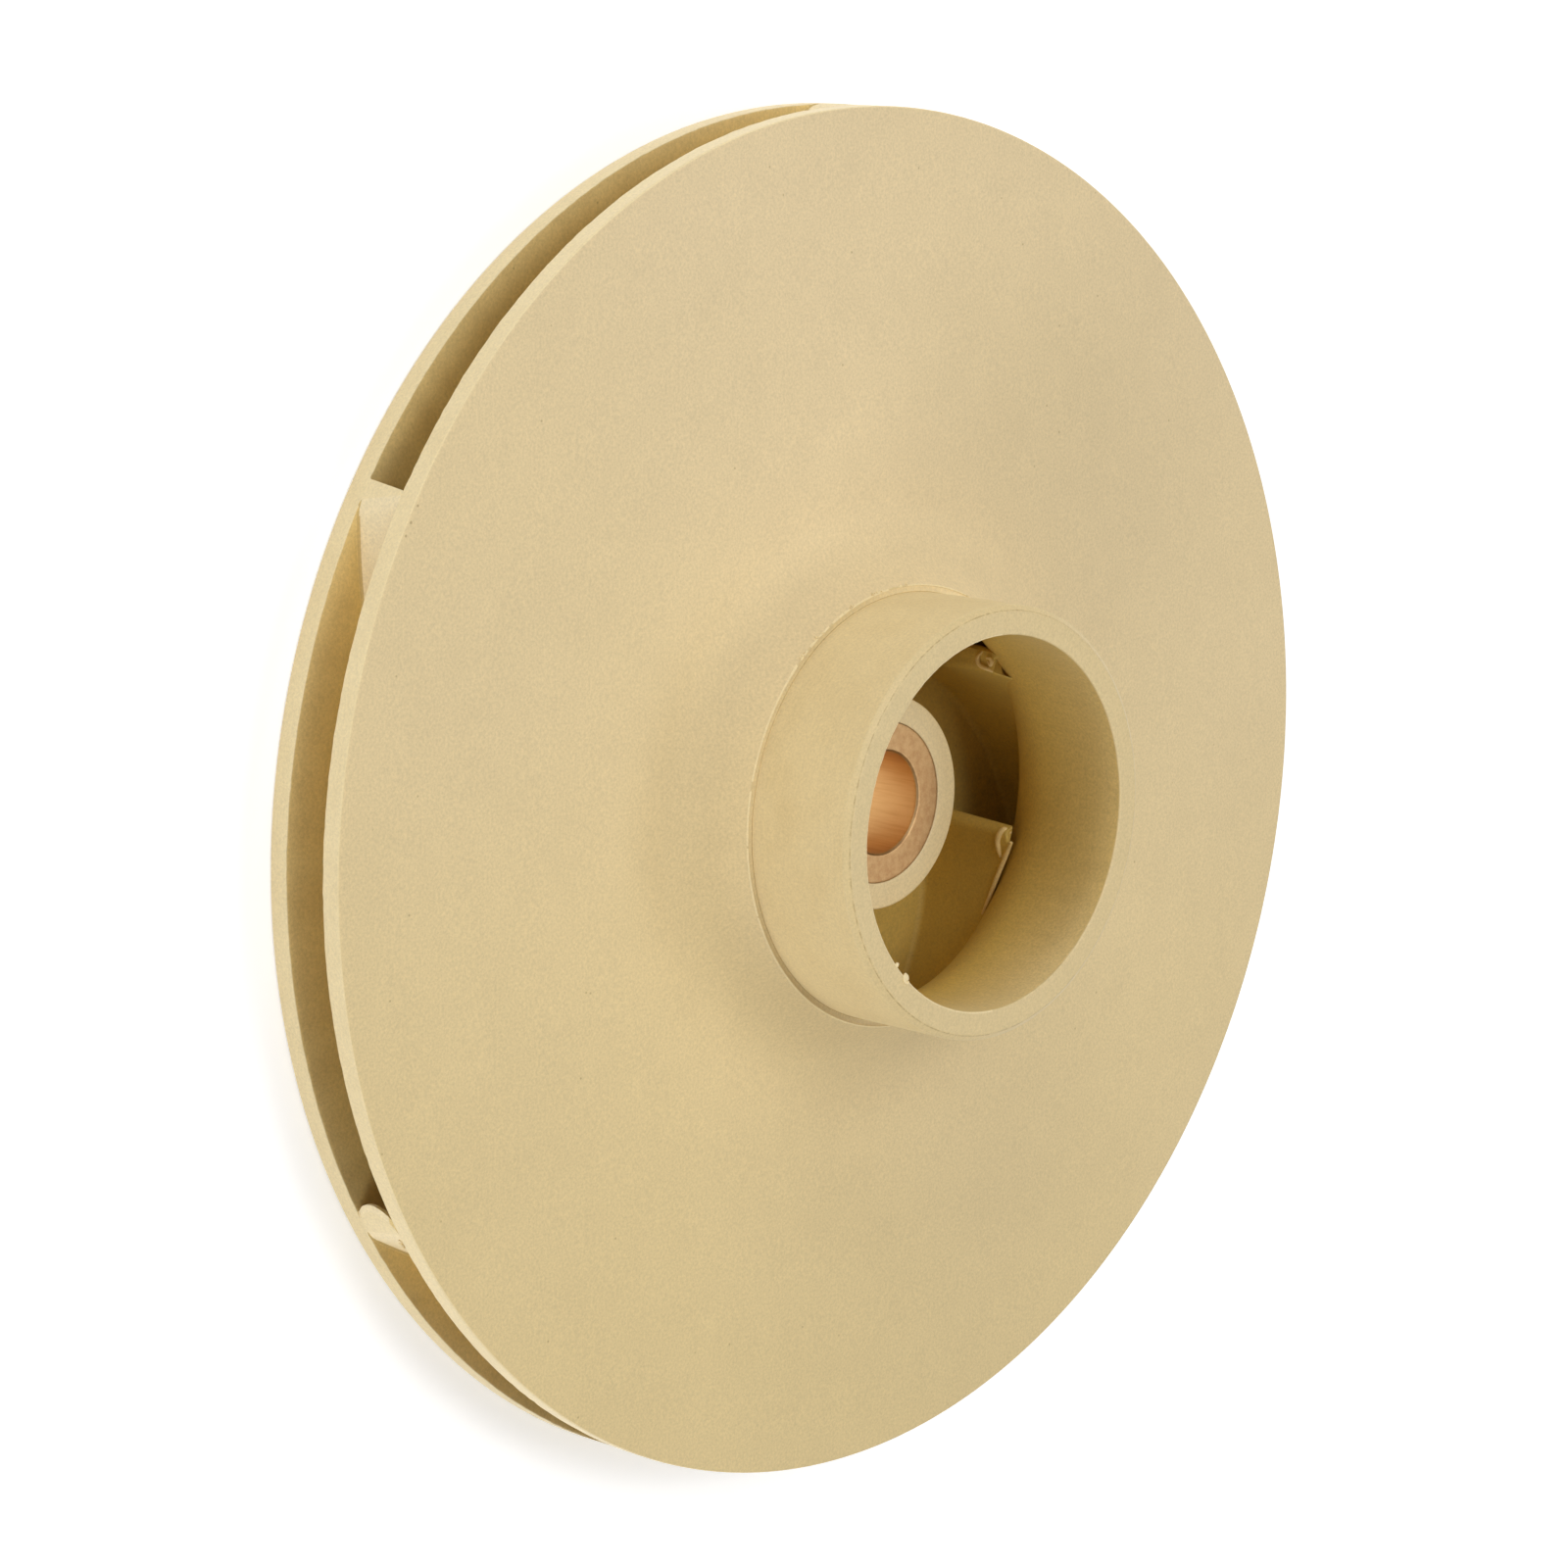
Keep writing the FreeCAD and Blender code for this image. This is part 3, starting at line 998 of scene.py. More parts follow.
@dataclass
class Vane:
    """One vane: a spiral wall that thins upwards, with a round nose and a foot fillet."""

    throat: Throat
    floor: float
    angle: float = 29.3
    convex: Flank = Flank(0.3 * MM, 5.0, 0.4 * MM)
    concave: Flank = Flank(0.8 * MM, 1.5)
    front: Flank = Flank(0.9 * MM, 4.0)
    nose_radius: float = 21.5 * MM
    nose_foot: float = 0.8 * MM
    tip_foot: float = 0.3 * MM
    tip_swell: float = 0.0
    swell_reach: float = 3.0 * MM
    swell_fullness: float = 0.6
    nose_swell: float = 0.0
    nose_reach: float = 5.0 * MM
    land_radius: float = 26.0 * MM
    relief_slope: float = 39.0
    peak_radius: float = 20.9 * MM
    weld_overlap: float = 0.06 * MM
    nose_overlap: float = 0.0
    overlap_reach: float = 3.0 * MM
    ramp_reach: float = 0.5 * MM
    sink: float = 0.3 * MM
    top_radius: float = 0.16 * MM
    side_steps: int = 64
    side_crowding: float = 1.5
    nose_steps: int = 14
    foot_steps: int = 4
    wall_steps: int = 10
    top_steps: int = 3

    def top(self, radius: float) -> float:
        """Find the height of the vane's top, which follows the roof and then the inlet relief.

        Args:
            radius: The distance from the axis.

        Returns:
            The height there.
        """
        if radius >= self.land_radius:
            past = (radius - self.land_radius) / self.overlap_reach
            return self.throat.roof(radius) + self.weld_overlap + self.nose_overlap * math.exp(-past ** 2)
        slope = math.tan(math.radians(self.relief_slope))
        rise = (self.land_radius - max(radius, self.peak_radius)) * slope
        fall = max(0.0, self.peak_radius - radius) * slope
        short = (self.land_radius - radius) / self.ramp_reach
        return self.throat.roof(self.land_radius) + rise - fall + self.nose_overlap * math.exp(-short ** 2)

    def spiral(self, radius: float) -> tuple[Vector, Vector, Vector]:
        """Find a point of the centre line.

        Args:
            radius: Its distance from the axis.

        Returns:
            The point, its outward heading and its outer normal.
        """
        angle = math.radians(self.angle)
        turn = math.log(self.throat.outer_radius / radius) / math.tan(angle)
        radial = Vector((math.cos(turn), math.sin(turn), 0))
        around = Vector((-math.sin(turn), math.cos(turn), 0))
        heading = radial * math.sin(angle) - around * math.cos(angle)
        normal = radial * math.cos(angle) + around * math.sin(angle)
        return radial * radius, heading, normal

    def rim_radius(self, offset: float) -> float:
        """Find the centre line's radius at which a side crosses the rim.

        Args:
            offset: The side's signed distance from the centre line.

        Returns:
            The radius of the centre line at that place.
        """
        angle = math.radians(self.angle)
        reach = math.sqrt(self.throat.outer_radius ** 2 - (offset * math.sin(angle)) ** 2)
        return reach - offset * math.cos(angle)

    def half(self, height: float, radius: float, turn: float) -> float:
        """The distance from the centre line to the wall.

        Args:
            height: The height at which it is asked.
            radius: The wall's distance from the impeller's axis.
            turn: The side: nothing for the convex one, half pi at the nose and pi for the concave one.

        Returns:
            The distance.
        """
        top = self.top(radius)
        convex = max(0.0, math.cos(turn)) ** 2
        concave = max(0.0, -math.cos(turn)) ** 2
        shares = (convex, concave, math.sin(turn) ** 2)
        half = 0.0
        for share, side in zip(shares, (self.convex, self.concave, self.front)):
            half += share * (side.half + (top - height) * math.tan(math.radians(side.draft)))
            missing = max(0.0, side.end_radius - (self.throat.outer_radius - radius))
            half -= share * (side.end_radius - math.sqrt(max(0.0, side.end_radius ** 2 - missing ** 2)))
        past_nose = max(0.0, radius - self.nose_radius) / self.nose_reach
        half += convex * self.nose_swell * math.exp(-past_nose ** 2)
        if self.tip_swell:
            rise = min(1.0, max(0.0, (height - self.floor) / (top - self.floor)))
            short = (self.throat.outer_radius - radius) / self.swell_reach
            swell = math.sin(math.pi * rise) ** self.swell_fullness
            half += concave * self.tip_swell * swell * math.exp(-short ** 2)
        return half

    def profile(self, row: int, radius: float, turn: float, foot: float) -> tuple[float, float]:
        """One point of the wall's profile.

        Args:
            row: The point's number, from the sunk foot up.
            radius: The wall's distance from the impeller's axis.
            turn: The side, as for the half thickness.
            foot: The radius of the foot fillet there.

        Returns:
            The distance from the centre line and the height.
        """
        top = self.top(radius)
        if row == 0:
            return self.half(self.floor, radius, turn) + foot, self.floor - self.sink
        row -= 1
        if row <= self.foot_steps:
            bend = row / self.foot_steps * math.pi / 2
            height = self.floor + foot * (1 - math.cos(bend))
            return self.half(height, radius, turn) + foot * (1 - math.sin(bend)), height
        row -= self.foot_steps
        low = self.floor + foot
        high = top - self.top_radius
        if row <= self.wall_steps:
            height = low + (high - low) * row / self.wall_steps
            return self.half(height, radius, turn), height
        bend = (row - self.wall_steps) / self.top_steps * math.pi / 2
        height = high + self.top_radius * math.sin(bend)
        return self.half(height, radius, turn) - self.top_radius * (1 - math.cos(bend)), height

    def rows(self) -> int:
        """The number of steps in the side's profile."""
        return 1 + self.foot_steps + self.wall_steps + self.top_steps

    def place_vertex(self, column: int, row: int) -> Vector:
        """Where a point of the wall lies.

        Args:
            column: Its step along the outline, from the rim round the nose and back to the rim.
            row: Its step up the profile.

        Returns:
            The point.
        """
        first_nose = self.side_steps
        last_nose = first_nose + self.nose_steps
        nose, heading, normal = self.spiral(self.nose_radius)
        if first_nose < column < last_nose:
            turn = (column - first_nose) / self.nose_steps * math.pi
            outward = normal * math.cos(turn) - heading * math.sin(turn)
            offset = self.front.half
            height = 0.0
            for _ in range(2):
                offset, height = self.profile(row, (nose + outward * offset).length, turn, self.nose_foot)
            return nose + outward * offset + Vector((0, 0, height))
        side, turn = (1.0, 0.0) if column <= first_nose else (-1.0, math.pi)
        step = first_nose - column if side > 0 else column - last_nose
        share = 1 - (1 - step / self.side_steps) ** self.side_crowding
        foot = self.nose_foot + (self.tip_foot - self.nose_foot) * share
        offset = self.convex.half
        height = 0.0
        for _ in range(3):
            end = self.rim_radius(side * offset)
            centre, _, across = self.spiral(self.nose_radius * (end / self.nose_radius) ** share)
            point = centre + across * (side * offset)
            offset, height = self.profile(row, point.length, turn, foot)
        return centre + across * (side * offset) + Vector((0, 0, height))

    def build(self) -> bmesh.types.BMesh:
        """Bend a grid round the outline and close it.

        Returns:
            The vane's closed shape, its tip on the X axis.
        """
        mesh = bmesh.new()
        columns = 2 * self.side_steps + self.nose_steps
        rows = self.rows()
        bmesh.ops.create_grid(mesh, x_segments=columns, y_segments=rows, size=1.0)
        for vert in mesh.verts:
            column = round((vert.co.x + 1) / 2 * columns)
            row = round((vert.co.y + 1) / 2 * rows)
            vert.co = self.place_vertex(column, row)
        self.close(mesh)
        return mesh

    def close(self, mesh: bmesh.types.BMesh) -> None:
        """Close the tip, the top and the sunk underside.

        Args:
            mesh: The bent grid.
        """
        rim = self.throat.outer_radius - 0.01 * MM
        columns = [
            edge
            for edge in mesh.edges
            if edge.is_boundary and all(math.hypot(*vert.co.xy) > rim for vert in edge.verts)
        ]
        bmesh.ops.bridge_loops(mesh, edges=columns)
        for loop in self.open_loops(mesh):
            bmesh.ops.triangle_fill(mesh, use_beauty=True, edges=loop, normal=(0, 0, 1))
        bmesh.ops.recalc_face_normals(mesh, faces=mesh.faces)
        if mesh.calc_volume(signed=True) < 0:
            bmesh.ops.reverse_faces(mesh, faces=mesh.faces)

    def open_loops(self, mesh: bmesh.types.BMesh) -> list[list[bmesh.types.BMEdge]]:
        """Find the open edges of the underside and of the top.

        Args:
            mesh: The bent grid, its tip closed.

        Returns:
            The edges of each.
        """
        edges = [edge for edge in mesh.edges if edge.is_boundary]
        under = [edge for edge in edges if max(vert.co.z for vert in edge.verts) < self.floor]
        over = [edge for edge in edges if min(vert.co.z for vert in edge.verts) > self.floor]
        return [under, over]


@dataclass
class BackShroud:
    """The back moulding: disc, hub and vanes."""

    throat: Throat
    bush_radius: float
    hub_height: float
    wall: float = 2.7 * MM
    hub_wall: float = 3.1 * MM
    hub_foot_radius: float = 4.0 * MM
    hub_edge_radius: float = 0.22 * MM
    rim_edge_radius: float = 0.3 * MM
    fine_radius: float = 0.1 * MM
    hold: float = 0.25 * MM
    pale_tip: float = 12.0 * MM
    tip_foot_height: float = 0.35 * MM
    upright_below: float = 0.25
    level_above: float = 0.97
    rim_wear: float = 0.06 * MM
    vane_count: int = 6
    segments: int = 576

    def vane(self, number: int) -> Vane:
        """Describe one of the vanes, with what sets it apart from the others.

        Args:
            number: Its number, counted from the one whose tip is on the X axis.

        Returns:
            The vane.
        """
        own = {
            0: {
                "nose_radius": 21.9 * MM,
                "nose_swell": 1.9 * MM,
                "land_radius": 22.7 * MM,
                "relief_slope": -18.0,
                "nose_overlap": 1.5 * MM,
            },
            4: {"concave": Flank(0.35 * MM, 4.0), "nose_radius": 24.3 * MM},
            5: {"concave": Flank(1.2 * MM, 0.2, 1.0 * MM), "tip_swell": 1.05 * MM},
        }
        return Vane(self.throat, self.wall, **own.get(number, {}))

    def wear(self, place: Vector) -> float:
        """How far a point of the disc may be pushed about: at the passages' floor edge."""
        at_rim = math.hypot(place.x, place.y) > self.throat.outer_radius - self.fine_radius
        return self.rim_wear if at_rim and place.z > self.wall - 2 * self.fine_radius else 0.0

    def disc(self) -> bmesh.types.BMesh:
        """Draw the half section of the disc and the hub, and turn it.

        Returns:
            Their closed shape.
        """
        outer = self.throat.outer_radius
        hub = self.bush_radius + self.hub_wall
        pen = Section(place(self.bush_radius, self.fine_radius))
        pen.corner(place(self.bush_radius, 0), place(outer, 0), self.fine_radius, 2)
        pen.corner(place(outer, 0), place(outer, self.wall), self.rim_edge_radius, 5, self.hold)
        pen.corner(place(outer, self.wall), place(hub, self.wall), self.fine_radius, 2)
        foot = place(hub, self.wall)
        pen.corner(foot, place(hub, self.hub_height), self.hub_foot_radius, 10, self.hold)
        top = place(hub, self.hub_height)
        bore = place(self.bush_radius, self.hub_height)
        pen.corner(top, bore, self.hub_edge_radius, 5, self.hold)
        pen.corner(bore, place(self.bush_radius, 0), self.fine_radius, 2, self.hold)
        return pen.turned(self.segments)

    def zone_of(self, centre: Vector, normal: Vector) -> Zone:
        """Choose a face's finish.

        The hub's face is turned with a painted highlight on its edge, the rim and the vanes' ends take
        painted light, the vanes' feet near the rim a painted shade, and the water's side the inner painted
        shade.

        Args:
            centre: The face's middle.
            normal: Its direction.

        Returns:
            The zone that it belongs to.
        """
        radius = math.hypot(centre.x, centre.y)
        if radius < self.bush_radius + self.hub_wall and centre.z > self.hub_height - self.hub_edge_radius:
            # Painted highlight on the hub's rounded edge; the hub's face is turned.
            return Zone.COLLAR if centre.z > self.hub_height - 0.2 * self.hub_edge_radius else Zone.RIM
        # Painted light: the trimmed rim takes the paler colour.
        if radius > self.throat.outer_radius - 0.3 * self.rim_edge_radius:
            return Zone.RIM
        if radius > self.throat.outer_radius - self.pale_tip and centre.z > self.wall:
            # Painted light: the vanes' upright flanks near the rim turn paler towards their tips, with amber
            # painted shade further in.
            if abs(normal.z) < self.upright_below:
                return Zone.TIP
            # Painted shade: the vanes' foot fillets near the rim turn darker towards the rim.
            if normal.z < self.level_above and centre.z < self.wall + self.tip_foot_height:
                return Zone.FOOT
        # The passage floor, vanes and hub take the inner painted shade.
        return Zone.INNER if centre.z >= self.wall - self.fine_radius else Zone.MOULDED

    def build(self, materials: Sequence[bpy.types.Material]) -> bpy.types.Object:
        """Make the moulding and dress it.

        Args:
            materials: The finishes in the order of the zones.

        Returns:
            The finished piece.
        """
        disc = self.disc()
        roughen(disc, self.wear, 0.8 * MM)
        parts = [disc]
        for number in range(self.vane_count):
            vane = self.vane(number).build()
            turn = Matrix.Rotation(FULL_TURN * number / self.vane_count, 3, "Z")
            bmesh.ops.rotate(vane, verts=vane.verts, cent=(0, 0, 0), matrix=turn)
            parts.append(vane)
        piece = finish_mesh("back_moulding", joined(parts), materials, self.zone_of)
        attach(piece, PLASTIC_SLOT, "back_shroud")
        return piece


@dataclass
class HubBush:
    """The turned bush in the hub."""

    radius: float
    height: float
    wall: float = 3.5 * MM
    bore_chamfer: float = 0.25 * MM
    outer_chamfer: float = 0.12 * MM
    fine_radius: float = 0.05 * MM
    hold: float = 0.2 * MM
    segments: int = 160

    def build(self, material: bpy.types.Material) -> bpy.types.Object:
        """Make the bush and dress it.

        Args:
            material: The bronze.

        Returns:
            The finished piece.
        """
        bore = self.radius - self.wall
        low, high = self.bore_chamfer, self.height - self.bore_chamfer
        pen = Section(place(bore, low))
        pen.corner(place(bore + self.bore_chamfer, 0), place(self.radius, 0), self.fine_radius, 2)
        pen.corner(place(self.radius, 0), place(self.radius, high), self.outer_chamfer, 2, self.hold)
        top = place(self.radius, self.height)
        pen.corner(top, place(bore + self.bore_chamfer, self.height), self.outer_chamfer, 3, self.hold)
        edge = place(bore + self.bore_chamfer, self.height)
        pen.corner(edge, place(bore, high), self.fine_radius, 2, self.hold)
        pen.corner(place(bore, high), place(bore, low), self.fine_radius, 2)
        piece = finish_mesh("bush", pen.turned(self.segments, self.hold), [material])
        attach(piece, BRONZE_SLOT, "hub_bush")
        return piece


@dataclass(frozen=True)
class Strand:
    """A strand of plastic squeezed out of a weld, in millimetres in its vane's own frame.

    The frame stands at the middle of the nose: each point says how far it is along the vane, how far
    towards its convex side, and how high.
    """

    vane: int
    points: tuple[tuple[float, float, float], ...]
    radii: tuple[float, ...]


@dataclass
class WeldFlash:
    """The strands that the weld has squeezed out at the noses of the vanes.

    The strands on the two noses that the eye shows are listed one by one. The other vanes have a thinner
    bead, whose sizes are in millimetres.
    """

    throat: Throat
    floor: float
    vane_count: int
    seed: int = 7
    bends: int = 5
    plain_vanes: tuple[int, ...] = (1, 2, 3, 4)
    short_vane: int = 4
    short_start: float = 25.0
    bead_start: tuple[float, float] = (21.2, 22.5)
    bead_end: float = 27.5
    bead_steps: int = 8
    bead_side: float = -0.75
    bead_wander: tuple[float, float] = (-0.1, 0.1)
    bead_rise: tuple[float, float] = (-0.08, 0.05)
    bead_radius: tuple[float, float] = (0.12, 0.24)
    bead_point: float = 0.06
    strands: tuple[Strand, ...] = (
        Strand(
            5,
            (
                (0.64, -1.15, 17.0),
                (2.28, -1.32, 16.05),
                (4.12, -1.59, 15.05),
                (7.13, -2.29, 13.65),
                (9.9, -3.2, 12.5),
            ),
            (0.2, 0.3, 0.3, 0.26, 0.12),
        ),
        Strand(
            5,
            (
                (-0.06, -0.08, 16.12),
                (-0.75, -0.76, 15.83),
                (-0.18, -1.2, 15.3),
                (0.75, -1.28, 14.9),
                (1.84, -1.33, 14.95),
                (2.74, -1.4, 15.16),
            ),
            (0.16, 0.3, 0.38, 0.38, 0.32, 0.16),
        ),
        Strand(
            0,
            (
                (0.1, 1.75, 15.4),
                (-0.6, 0.85, 15.15),
                (-0.56, 0.1, 15.2),
                (-0.42, -0.36, 15.75),
                (-0.2, -0.55, 16.6),
                (0.3, -0.7, 17.1),
            ),
            (0.14, 0.22, 0.26, 0.24, 0.22, 0.14),
        ),
        Strand(
            0,
            (
                (-0.5, 0.7, 16.35),
                (-0.45, 0.72, 16.8),
                (-0.3, 0.35, 17.1),
                (-0.3, -0.05, 17.0),
                (-0.4, 0.3, 16.6),
            ),
            (0.12, 0.2, 0.26, 0.2, 0.1),
        ),
    )

    def frame(self, number: int) -> Matrix:
        """Set up the frame at the middle of a vane's nose.

        Args:
            number: The vane's number.

        Returns:
            The frame.
        """
        vane = Vane(self.throat, self.floor)
        origin, heading, normal = vane.spiral(vane.nose_radius)
        turn = Matrix.Rotation(FULL_TURN * number / self.vane_count, 4, "Z")
        axes = Matrix((heading, normal, Vector((0, 0, 1)))).transposed().to_4x4()
        return turn @ Matrix.Translation(origin) @ axes

    def strand(self, strand: Strand) -> bmesh.types.BMesh:
        """Make one strand.

        Args:
            strand: Its path and its radii.

        Returns:
            The strand's closed shape.
        """
        frame = self.frame(strand.vane)
        path = smooth_path([frame @ (Vector(point) * MM) for point in strand.points], self.bends)
        radii = smooth_path([Vector((radius, 0, 0)) for radius in strand.radii], self.bends)
        return rope(path, [radius.x * MM for radius in radii])

    def bead(self, number: int, chance: random.Random) -> bmesh.types.BMesh:
        """Make the thin bead along the top of a vane's inner end.

        Args:
            number: The vane's number.
            chance: The source of its unevenness.

        Returns:
            The bead.
        """
        vane = Vane(self.throat, self.floor)
        turn = Matrix.Rotation(FULL_TURN * number / self.vane_count, 3, "Z")
        start = self.short_start if number == self.short_vane else chance.uniform(*self.bead_start)
        path = []
        for step in range(self.bead_steps + 1):
            radius = (start + (self.bead_end - start) * step / self.bead_steps) * MM
            centre, _, across = vane.spiral(radius)
            side = across * (self.bead_side + chance.uniform(*self.bead_wander)) * MM
            height = vane.top(radius) + chance.uniform(*self.bead_rise) * MM
            path.append(turn @ (centre + side + Vector((0, 0, height))))
        radii = [chance.uniform(*self.bead_radius) * MM for _ in path]
        return rope(path, [self.bead_point * MM, *radii[1:-1], self.bead_point * MM], sides=8)

    def build(self, material: bpy.types.Material) -> bpy.types.Object:
        """Make all the flash and dress it.

        Args:
            material: The squeezed plastic's finish.

        Returns:
            The finished piece.
        """
        chance = random.Random(self.seed)
        parts = [self.strand(strand) for strand in self.strands]
        parts += [self.bead(number, chance) for number in self.plain_vanes]
        piece = finish_mesh("weld_flash", joined(parts), [material], crease=60)
        attach(piece, PLASTIC_SLOT)
        return piece


@dataclass
class Burrs:
    """Small crumbs, burrs and chips that turning and trimming have left.

    A reach is half a burr's size along each axis, in millimetres. A chip is given as its radius, its
    angle in degrees, its height and its size, with the lengths in millimetres.
    """

    front: FrontShroud
    seed: int = 11
    bead_angle: float = -49.4
    bead_reach: tuple[float, float, float] = (0.3, 0.3, 0.2)
    bead_inset: float = 0.1 * MM
    ring_angle: float = -43.2
    ring_reach: tuple[float, float, float] = (0.55, 0.42, 0.1)
    ring_from: float = -190.0
    ring_step: float = 24.0
    ring_steps: int = 10
    ring_radius: float = 0.13 * MM
    ring_end_radius: float = 0.08 * MM
    web_reach: tuple[float, float, float] = (0.5, 0.38, 0.06)
    chips: tuple[tuple[float, float, float, float], ...] = (
        (79.7, -59.15, 7.9, 0.3),
        (79.35, -58.5, 7.2, 0.4),
        (78.9, -57.7, 6.2, 0.3),
    )
    chip_turn: float = -30.7
    crumb_count: int = 26

    def lip(self) -> list[bmesh.types.BMesh]:
        """Make the bead and the ring-shaped chip on the edge of the eye.

        Returns:
            The bead, the ring and the thin web inside it.
        """
        edge = self.front.throat.eye_radius
        top = self.front.throat.overall_height
        spot = polar(edge - self.bead_inset, self.bead_angle, top - self.bead_inset)
        bead = lump(spot, Matrix.Identity(3), Vector(self.bead_reach) * MM, 0.3)
        middle = polar(edge, self.ring_angle, top)
        along, across, up = self.ring_reach
        path = []
        for step in range(self.ring_steps + 1):
            turn = math.radians(self.ring_from + self.ring_step * step)
            reach = Vector((along * math.cos(turn), across * math.sin(turn), up * math.cos(turn)))
            path.append(middle + reach * MM)
        radii = [self.ring_radius] * (self.ring_steps - 1)
        ring = rope(path, [self.ring_end_radius, *radii, self.ring_end_radius], sides=10)
        web = lump(middle, Matrix.Identity(3), Vector(self.web_reach) * MM, 0.2)
        return [bead, ring, web]

    def tip(self) -> list[bmesh.types.BMesh]:
        """Make the chips at the corner of one vane's tip.

        Returns:
            The chips.
        """
        side = Matrix.Rotation(math.radians(self.chip_turn), 3, "Z")
        parts = []
        for radius, angle, height, size in self.chips:
            chip = Vector((0.6, 1.2, 0.8)) * (size * MM)
            parts.append(lump(polar(radius * MM, angle, height * MM), side, chip, 0.5))
        return parts

    def shoulder(self) -> list[bmesh.types.BMesh]:
        """Make crumbs along the part of the shoulder's edge that is chipped.

        Returns:
            The crumbs.
        """
        chance = random.Random(self.seed)
        parts = []
        for _ in range(self.crumb_count):
            angle = chance.uniform(self.front.chipped_from, self.front.chipped_to)
            radius = self.front.shoulder_radius + chance.uniform(-0.15, 0.12) * MM
            height = self.front.shoulder_height + chance.uniform(-0.1, 0.02) * MM
            reach = Vector([chance.uniform(0.06, 0.17) for _ in range(3)]) * MM
            turn = Matrix.Rotation(chance.uniform(0, math.pi), 3, "Z")
            parts.append(lump(polar(radius, angle, height), turn, reach, 0.5))
        return parts

    def build(self, material: bpy.types.Material) -> bpy.types.Object:
        """Make all of them and dress them.

        Args:
            material: Their finish.

        Returns:
            The finished piece.
        """
        parts = self.lip() + self.tip() + self.shoulder()
        piece = finish_mesh("burrs", joined(parts), [material], crease=60)
        attach(piece, PLASTIC_SLOT)
        return piece


@dataclass(frozen=True)
class Lamp:
    """A flat lamp that faces the impeller from a direction."""

    name: str
    azimuth: float
    elevation: float
    power: float
    width: float = 0.45
    height: float = 0.45
    distance: float = 0.9

    def build(self, target: Vector) -> bpy.types.Object:
        """Hang the lamp.

        Args:
            target: The point that it faces.

        Returns:
            The lamp's object.
        """
        data = bpy.data.lights.new(self.name, "AREA")
        data.shape = "RECTANGLE"
        data.size = self.width
        data.size_y = self.height
        data.energy = self.power
        lamp = bpy.data.objects.new(self.name, data)
        back = direction(self.azimuth, self.elevation)
        lamp.location = target + back * self.distance
        lamp.rotation_mode = "QUATERNION"
        lamp.rotation_quaternion = (-back).to_track_quat("-Z", "Y")
        bpy.context.scene.collection.objects.link(lamp)
        return lamp


def direction(azimuth: float, elevation: float) -> Vector:
    """The direction from the impeller towards a viewer at an azimuth and an elevation."""
    turn, rise = math.radians(azimuth), math.radians(elevation)
    return Vector((math.sin(turn) * math.cos(rise), -math.cos(turn) * math.cos(rise), math.sin(rise)))


@dataclass(frozen=True)
class Camera:
    """The photograph's camera: where it aims, from where, and how far it is rolled."""

    aim: tuple[float, float, float] = (-4.589 * MM, -18.441 * MM, 16.0 * MM)
    azimuth: float = -13.8574
    elevation: float = 43.0824
    distance: float = 510.54 * MM
    roll: float = 100.5531
    lens: float = 103.883
    sensor: float = 36.0

    def build(self) -> bpy.types.Object:
        """Set up the camera.

        Returns:
            The camera's object.
        """
        data = bpy.data.cameras.new("photo_camera")
        data.lens = self.lens
        data.sensor_width = self.sensor
        data.clip_start = 0.01
        data.clip_end = 10.0
        camera = bpy.data.objects.new("photo_camera", data)
        back = direction(self.azimuth, self.elevation)
        camera.location = Vector(self.aim) + back * self.distance
        level = (-back).to_track_quat("-Z", "Y").to_matrix()
        turned = Matrix.Rotation(math.radians(self.roll), 3, back) @ level
        camera.rotation_mode = "QUATERNION"
        camera.rotation_quaternion = turned.to_quaternion()
        bpy.context.scene.collection.objects.link(camera)
        bpy.context.scene.camera = camera
        return camera


